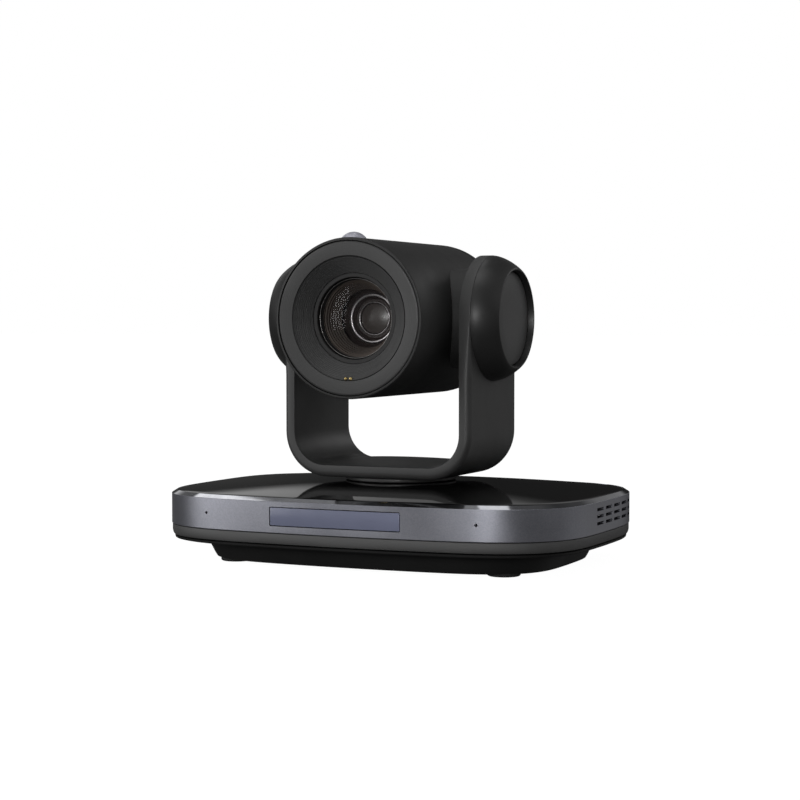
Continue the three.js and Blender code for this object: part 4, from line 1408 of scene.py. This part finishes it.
    def build_status_points(self) -> None:
        """Two gold points under the lens, each with a domed end."""
        x, z, radius = self.status
        low, high = (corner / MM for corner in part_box("status_point_right"))
        profile = turned(
            (radius, high.y), (radius, low.y), (radius * 0.7, low.y - 0.2), (radius * 0.3, low.y - 0.25)
        )
        first = build_rings("gold_point_right", profile, Ends.CAPPED)
        place(first, Axis.BACK, (x, 0, TILT_HEIGHT + z))
        second = copy_of(first, "gold_point_left")
        second.location.x = -2 * x * MM
        settle()
        hand_over(first, Dressing("head", "gold_contact", GOLD_CONTACT, ("status_point_right",), 60))
        hand_over(second, Dressing("head", "gold_contact", GOLD_CONTACT, ("status_point_left",), 60))


@dataclass
class Lens:
    """The zoom lens behind the funnel: barrel, baffles, front element and the moving zoom group."""

    outer: float = 23.2
    bore: float = 20.0
    tail_bore: float = 14.0
    front: float = -58.4
    back: float = 8.0
    ring: tuple[float, float, float] = (20.8, -56.4, -53.6)  # radius, front and back
    group_front: float = -36.4
    group_back: float = -33.0
    group_radius: float = 18.0
    bright_ring: float = 12.4
    element: float = 8.6

    def build(self) -> None:
        """Builds the barrel, the ring, the baffles, the glass and the zoom group."""
        radius, ring_front, ring_back = self.ring
        barrel = along_lens(
            "lens_tube", (self.outer, self.front), (self.outer, self.back),
            (self.tail_bore, self.back), (self.tail_bore, self.back - 2),
            (self.bore, self.back - 2), (self.bore, ring_back + 0.3), (radius + 0.3, ring_back + 0.3),
            (radius + 0.3, self.front + 0.3), (radius + 0.6, self.front), (self.outer, self.front),
        )
        hand_over(barrel, Dressing("head", "pedestal_plastic", LENS_BLACK, ("lens_barrel",)))
        ring = along_lens(
            "lens_retaining_ring", (radius, ring_back), (19.9, ring_back), (19.9, ring_front + 2.2),
            (20.2, ring_front + 1.6), (20.3, ring_front + 0.1), (20.5, ring_front),
            (radius - 0.1, ring_front + 0.1), (radius, ring_front + 0.4), (radius, ring_back),
        )
        hand_over(ring, Dressing("head", "pedestal_plastic", LENS_BLACK, ("lens_ring",), 20))
        edge = along_lens("lens_ring_edge", *self.bead(20.45, ring_front - 0.05, 0.22, 0.2))
        hand_over(edge, Dressing("head", "steel", RING_GREY, (), 60))
        self.build_baffles()
        self.build_front_element()
        self.build_zoom_group()

    def build_baffles(self) -> None:
        """A stepped tube of knife-edged rings that narrows towards the zoom group."""
        start, end = -53.2, -42.0
        wide, narrow, count = 19.7, 15.2, 7
        stairs: list[tuple[float, float]] = [(wide, start)]
        for step in range(count):
            share = (step + 1) / count
            radius = wide - (wide - narrow) * share
            y = start + (end - start) * share
            stairs.append((radius + 0.6, y - 0.7))
            stairs.append((radius, y - 0.3))
            stairs.append((radius, y))
        stairs += [(self.bore - 0.05, end), (self.bore - 0.05, start), (wide, start)]
        # the baffles' warm brown tone is a painted reflection; the rings themselves are black anodised
        baffles = along_lens("baffle_rings", *stairs)
        hand_over(baffles, Dressing("head", "pedestal_plastic", BAFFLE_PAINTED_REFLECTION, (), 20))

    def build_front_element(self) -> None:
        """The front element: a thin curved shell of clear glass."""
        rim, front, bulge, thick = 18.3, -52.8, 1.8, 1.0
        face = [(rim * k, front - bulge * (1 - k**2)) for k in (1.0, 0.85, 0.7, 0.55, 0.4, 0.25, 0.1)]
        rear = [(r, y + thick) for r, y in reversed(face)]
        glass = along_lens("front_lens_element", *face, *rear, face[0])
        hand_over(glass, Dressing("head", "lens_glass", FRONT_GLASS, ("front_element",), 60))

    def build_zoom_group(self) -> None:
        """The moving group: a bright ring, a dark cone, an inner ring and the domed element."""
        front, back, ring, lens = self.group_front, self.group_back, self.bright_ring, self.element
        holder = along_lens(
            "zoom_holder", (self.group_radius, back), (self.group_radius, front + 1.6),
            (ring + 1.6, front + 0.9), (ring + 1.0, front + 0.5), (ring - 0.6, front + 1.0),
            (lens + 1.6, front + 3.0), (lens + 0.2, front + 3.1), (lens + 0.2, back), ends=Ends.CAPPED,
        )
        hand_over(holder, Dressing("zoom_group", "pedestal_plastic", GROUP_BROWN, ("zoom_group",), 25))
        bright = along_lens("zoom_bright_ring", *self.bead(ring, front + 0.5, 0.85, 0.6))
        hand_over(bright, Dressing("zoom_group", "steel", BRIGHT_RING, (), 60))
        inner = along_lens("zoom_inner_ring", *self.bead(lens, front + 2.9, 0.35, 0.45))
        hand_over(inner, Dressing("zoom_group", "steel", BRIGHT_RING, (), 60))
        rim, edge, rise = lens - 0.9, front + 3.4, 1.5
        profile = [(rim, edge + 1.2), (rim, edge)]
        profile += [(rim * k, edge - rise * (1 - k**2)) for k in (0.95, 0.8, 0.6, 0.4, 0.2, 0.02)]
        element = along_lens("zoom_lens_element", *profile, ends=Ends.CAPPED)
        hand_over(element, Dressing("zoom_group", "lens_glass", GROUP_GLASS, (), 60))

    def bead(
        self, radius: float, y: float, half_width: float, half_depth: float
    ) -> list[tuple[float, float]]:
        """A ring with an oval section.

        Args:
            radius: middle of the section, in millimetres.
            y: middle of the section.
            half_width: half its width across the radius.
            half_depth: half its depth along the axis.

        Returns:
            The closed profile.
        """
        points = []
        for i in range(13):
            turn = 2 * math.pi * i / 12
            points.append((radius + half_width * math.cos(turn), y + half_depth * math.sin(turn)))
        return points


# ---------------------------------------------------------------- studio
@dataclass
class SoftLight:
    """One softbox: where it stands and how wide, tall and bright it is."""

    name: str
    azimuth: float  # degrees from straight in front of the camera body, positive to its right
    elevation: float
    distance: float  # metres
    width: float
    height: float
    power: float
    target: Point = (0, 0, 90)

    def build(self) -> None:
        """Adds the light, aimed at its target."""
        turn, rise = math.radians(self.azimuth), math.radians(self.elevation)
        away = Vector((math.sin(turn) * math.cos(rise), -math.cos(turn) * math.cos(rise), math.sin(rise)))
        deselect()
        bpy.ops.object.light_add(type="AREA", location=Vector(self.target) * MM + away * self.distance)
        lamp = bpy.context.object
        lamp.name = self.name
        lamp.data.shape = "RECTANGLE"
        lamp.data.size, lamp.data.size_y = self.width, self.height
        lamp.data.energy = self.power
        lamp.rotation_euler = away.to_track_quat("Z", "Y").to_euler()


@dataclass
class Studio:
    """A pale floor, a white surround that is dim to reflections near the horizon, lights and the camera."""

    camera_place: Point = (425.9, -940.3, 128.2)
    camera_turn: float = 24.4  # degrees the view is turned to the left of straight ahead
    camera_dip: float = 2.35
    focal_length: float = 85.89
    room_dim: float = 0.22  # light from the horizon in front
    room_bright: float = 0.5
    strip_strength: float = 1.6
    lights: tuple[SoftLight, ...] = (
        SoftLight("key_softbox", 12, 7, 1.8, 0.35, 0.3, 9),
        SoftLight("left_softbox", -50, 10, 1.7, 1.0, 0.9, 9),
        SoftLight("right_softbox", 80, 25, 1.7, 1.2, 1.2, 1.0),
        SoftLight("top_softbox", 10, 80, 1.5, 0.8, 0.8, 3),
    )

    def build(self) -> None:
        """Builds the floor, the surround, the lights and the camera."""
        self.build_floor()
        self.build_surround()
        for light in self.lights:
            light.build()
        self.build_camera()

    def build_floor(self) -> None:
        """A wide pale sheet under the camera."""
        deselect()
        bpy.ops.mesh.primitive_plane_add(size=30, location=(0, 0, 0))
        floor = bpy.context.object
        floor.name = "studio_floor"
        material = bpy.data.materials.new("paper_sweep_white")
        material.use_nodes = True
        tree = material.node_tree
        tree.nodes.clear()
        spot = add_node(tree, "ShaderNodeTexCoord").outputs["Object"]
        values = {"Scale": 900.0, "Detail": 3}
        fibres = add_node(tree, "ShaderNodeTexNoise", values=values, links={"Vector": spot})
        tone = add_ramp(tree, fibres.outputs["Fac"], [(0.3, "#fbfbfb"), (0.7, "#ffffff")])
        paper = add_node(tree, "ShaderNodeBsdfDiffuse", values={"Color": linear("#5a5a5a")})
        glow = add_node(tree, "ShaderNodeEmission", values={"Strength": 1.0}, links={"Color": tone})
        both = add_node(
            tree, "ShaderNodeAddShader", links={0: paper.outputs["BSDF"], 1: glow.outputs["Emission"]}
        )
        add_node(tree, "ShaderNodeOutputMaterial", links={"Surface": both.outputs["Shader"]})
        floor.data.materials.append(material)
        floor.visible_glossy = False
        floor.visible_diffuse = False

    def build_surround(self) -> None:
        """White to the camera; to reflections, a grey room with bright panels above and behind the object."""
        world = bpy.data.worlds.new("studio_surround")
        bpy.context.scene.world = world
        world.use_nodes = True
        tree = world.node_tree
        tree.nodes.clear()
        direction = add_node(tree, "ShaderNodeTexCoord").outputs["Generated"]
        turned_view = add_node(
            tree, "ShaderNodeVectorRotate", rotation_type="Z_AXIS",
            values={"Angle": -math.radians(self.camera_turn)}, links={"Vector": direction},
        )
        parts = add_node(tree, "ShaderNodeSeparateXYZ", links={"Vector": turned_view.outputs["Vector"]})
        right, away, up = parts.outputs["X"], parts.outputs["Y"], parts.outputs["Z"]
        low, high = self.room_dim, self.room_bright
        front = self.fade(tree, up, [(-1.0, 0.1), (-0.12, 0.14), (-0.03, low), (0.5, high), (1.0, high)])
        left_front = self.fade(
            tree, right,
            [(-1.0, 2.2), (-0.85, 1.8), (-0.6, 1.1), (-0.35, 1.5), (-0.15, 1.15), (0.1, 0.5), (0.5, 0.6),
             (1.0, 0.8)],
        )
        front = self.times(tree, front, left_front)
        rear = self.fade(
            tree, up,
            [(-1.0, 0.08), (-0.1, 0.1), (0.0, 0.05), (0.19, 0.06), (0.23, 0.25), (0.265, 0.75), (0.33, 0.6),
             (0.45, 0.2), (0.72, 0.15), (1.0, high)],
        )
        left_rear = self.fade(
            tree, right,
            [(-1.0, 0.4), (-0.3, 1.0), (-0.09, 0.8), (-0.02, 0.4), (0.04, 0.3), (0.48, 0.4), (0.64, 2.4),
             (1.0, 3.0)],
        )
        rear = self.times(tree, rear, left_rear)
        side = self.fade(tree, away, [(-0.25, 0.0), (0.25, 1.0)])
        room = add_node(tree, "ShaderNodeMix", links={0: side, 2: front, 3: rear}).outputs[0]
        strips = self.times(tree, self.fade(tree, up, [(0.62, 0.0), (0.64, 1.0)]), self.strips(tree, right))
        overhead = self.fade(tree, away, [(0.2, 0.0), (0.28, 1.0), (0.66, 1.0), (0.7, 0.0)])
        strips = self.times(tree, strips, overhead)
        light = add_node(tree, "ShaderNodeMath", operation="ADD", links={0: room, 1: strips}).outputs["Value"]
        seen = add_node(tree, "ShaderNodeLightPath").outputs["Is Camera Ray"]
        strength = add_node(tree, "ShaderNodeMix", values={3: 1.0}, links={0: seen, 2: light}).outputs[0]
        values = {"Color": (1, 1, 1, 1)}
        background = add_node(tree, "ShaderNodeBackground", values=values, links={"Strength": strength})
        add_node(tree, "ShaderNodeOutputWorld", links={"Surface": background.outputs["Background"]})
        bpy.context.scene.view_settings.view_transform = "Standard"

    def strips(self, tree: Tree, right: Socket) -> Socket:
        """Two narrow panels overhead, seen only in the bright chamfer of the base."""
        wide = self.fade(tree, right, [(-0.445, 0.0), (-0.44, 1.0), (-0.385, 1.0), (-0.38, 0.0)])
        narrow = self.fade(tree, right, [(-0.10, 0.0), (-0.095, 0.75), (0.075, 0.75), (0.08, 0.0)])
        both = add_node(tree, "ShaderNodeMath", operation="ADD", links={0: wide, 1: narrow}).outputs["Value"]
        return add_node(
            tree, "ShaderNodeMath", operation="MULTIPLY", values={1: self.strip_strength}, links={0: both}
        ).outputs["Value"]

    def fade(
        self, tree: Tree, source: Socket, stops: Sequence[tuple[float, float]]
    ) -> Socket:
        """A strength that runs between stops along a direction's part.

        Args:
            tree: the node tree.
            source: the part, -1 to 1.
            stops: values of that part and the strength at each.

        Returns:
            The strength socket.
        """
        share = add_node(
            tree, "ShaderNodeMapRange", values={"From Min": -1.0, "From Max": 1.0}, links={"Value": source}
        )
        greatest = max(strength for _, strength in stops)
        ramp = add_node(tree, "ShaderNodeValToRGB", links={"Fac": share.outputs["Result"]})
        elements = ramp.color_ramp.elements
        while len(elements) < len(stops):
            elements.new(0.5)
        for element, (part, strength) in zip(elements, stops):
            element.position = (part + 1) / 2
            element.color = (strength / greatest,) * 3 + (1.0,)
        return add_node(
            tree, "ShaderNodeMath", operation="MULTIPLY", values={1: greatest},
            links={0: ramp.outputs["Color"]},
        ).outputs["Value"]

    def times(
        self, tree: Tree, first: Socket, second: Socket
    ) -> Socket:
        """The product of two strengths."""
        links = {0: first, 1: second}
        return add_node(tree, "ShaderNodeMath", operation="MULTIPLY", links=links).outputs["Value"]

    def build_camera(self) -> None:
        """A long lens a metre away, a little above the tilt axis, looking down slightly."""
        deselect()
        bpy.ops.object.camera_add(location=Vector(self.camera_place) * MM)
        camera = bpy.context.object
        camera.name = "studio_camera"
        camera.rotation_euler = (math.radians(90 - self.camera_dip), 0, math.radians(self.camera_turn))
        camera.data.lens = self.focal_length
        camera.data.clip_start = 0.01
        bpy.context.scene.camera = camera


# ---------------------------------------------------------------- assembly
def dress_carried_over() -> None:
    """Gives every CAD node that still shows its own finish."""
    for finish, names in CARRIED_OVER.items():
        for name in names:
            node = frame["nodes"][name]
            node.data.materials.clear()
            node.data.materials.append(finish.material())
            log.info("%s keeps its CAD shape in %s", name, finish.name)


def main() -> None:
    """Builds the camera from the base up, dresses it and sets the studio."""
    logging.basicConfig(level=logging.INFO, format="%(name)s: %(message)s")
    outline = BaseOutline()
    Pedestal(outline).build()
    Band(outline).build()
    Cover(outline).build()
    RearPanel().build()
    Yoke().build()
    Head().build()
    Lens().build()
    dress_carried_over()
    Studio().build()


if __name__ == "__main__":
    main()
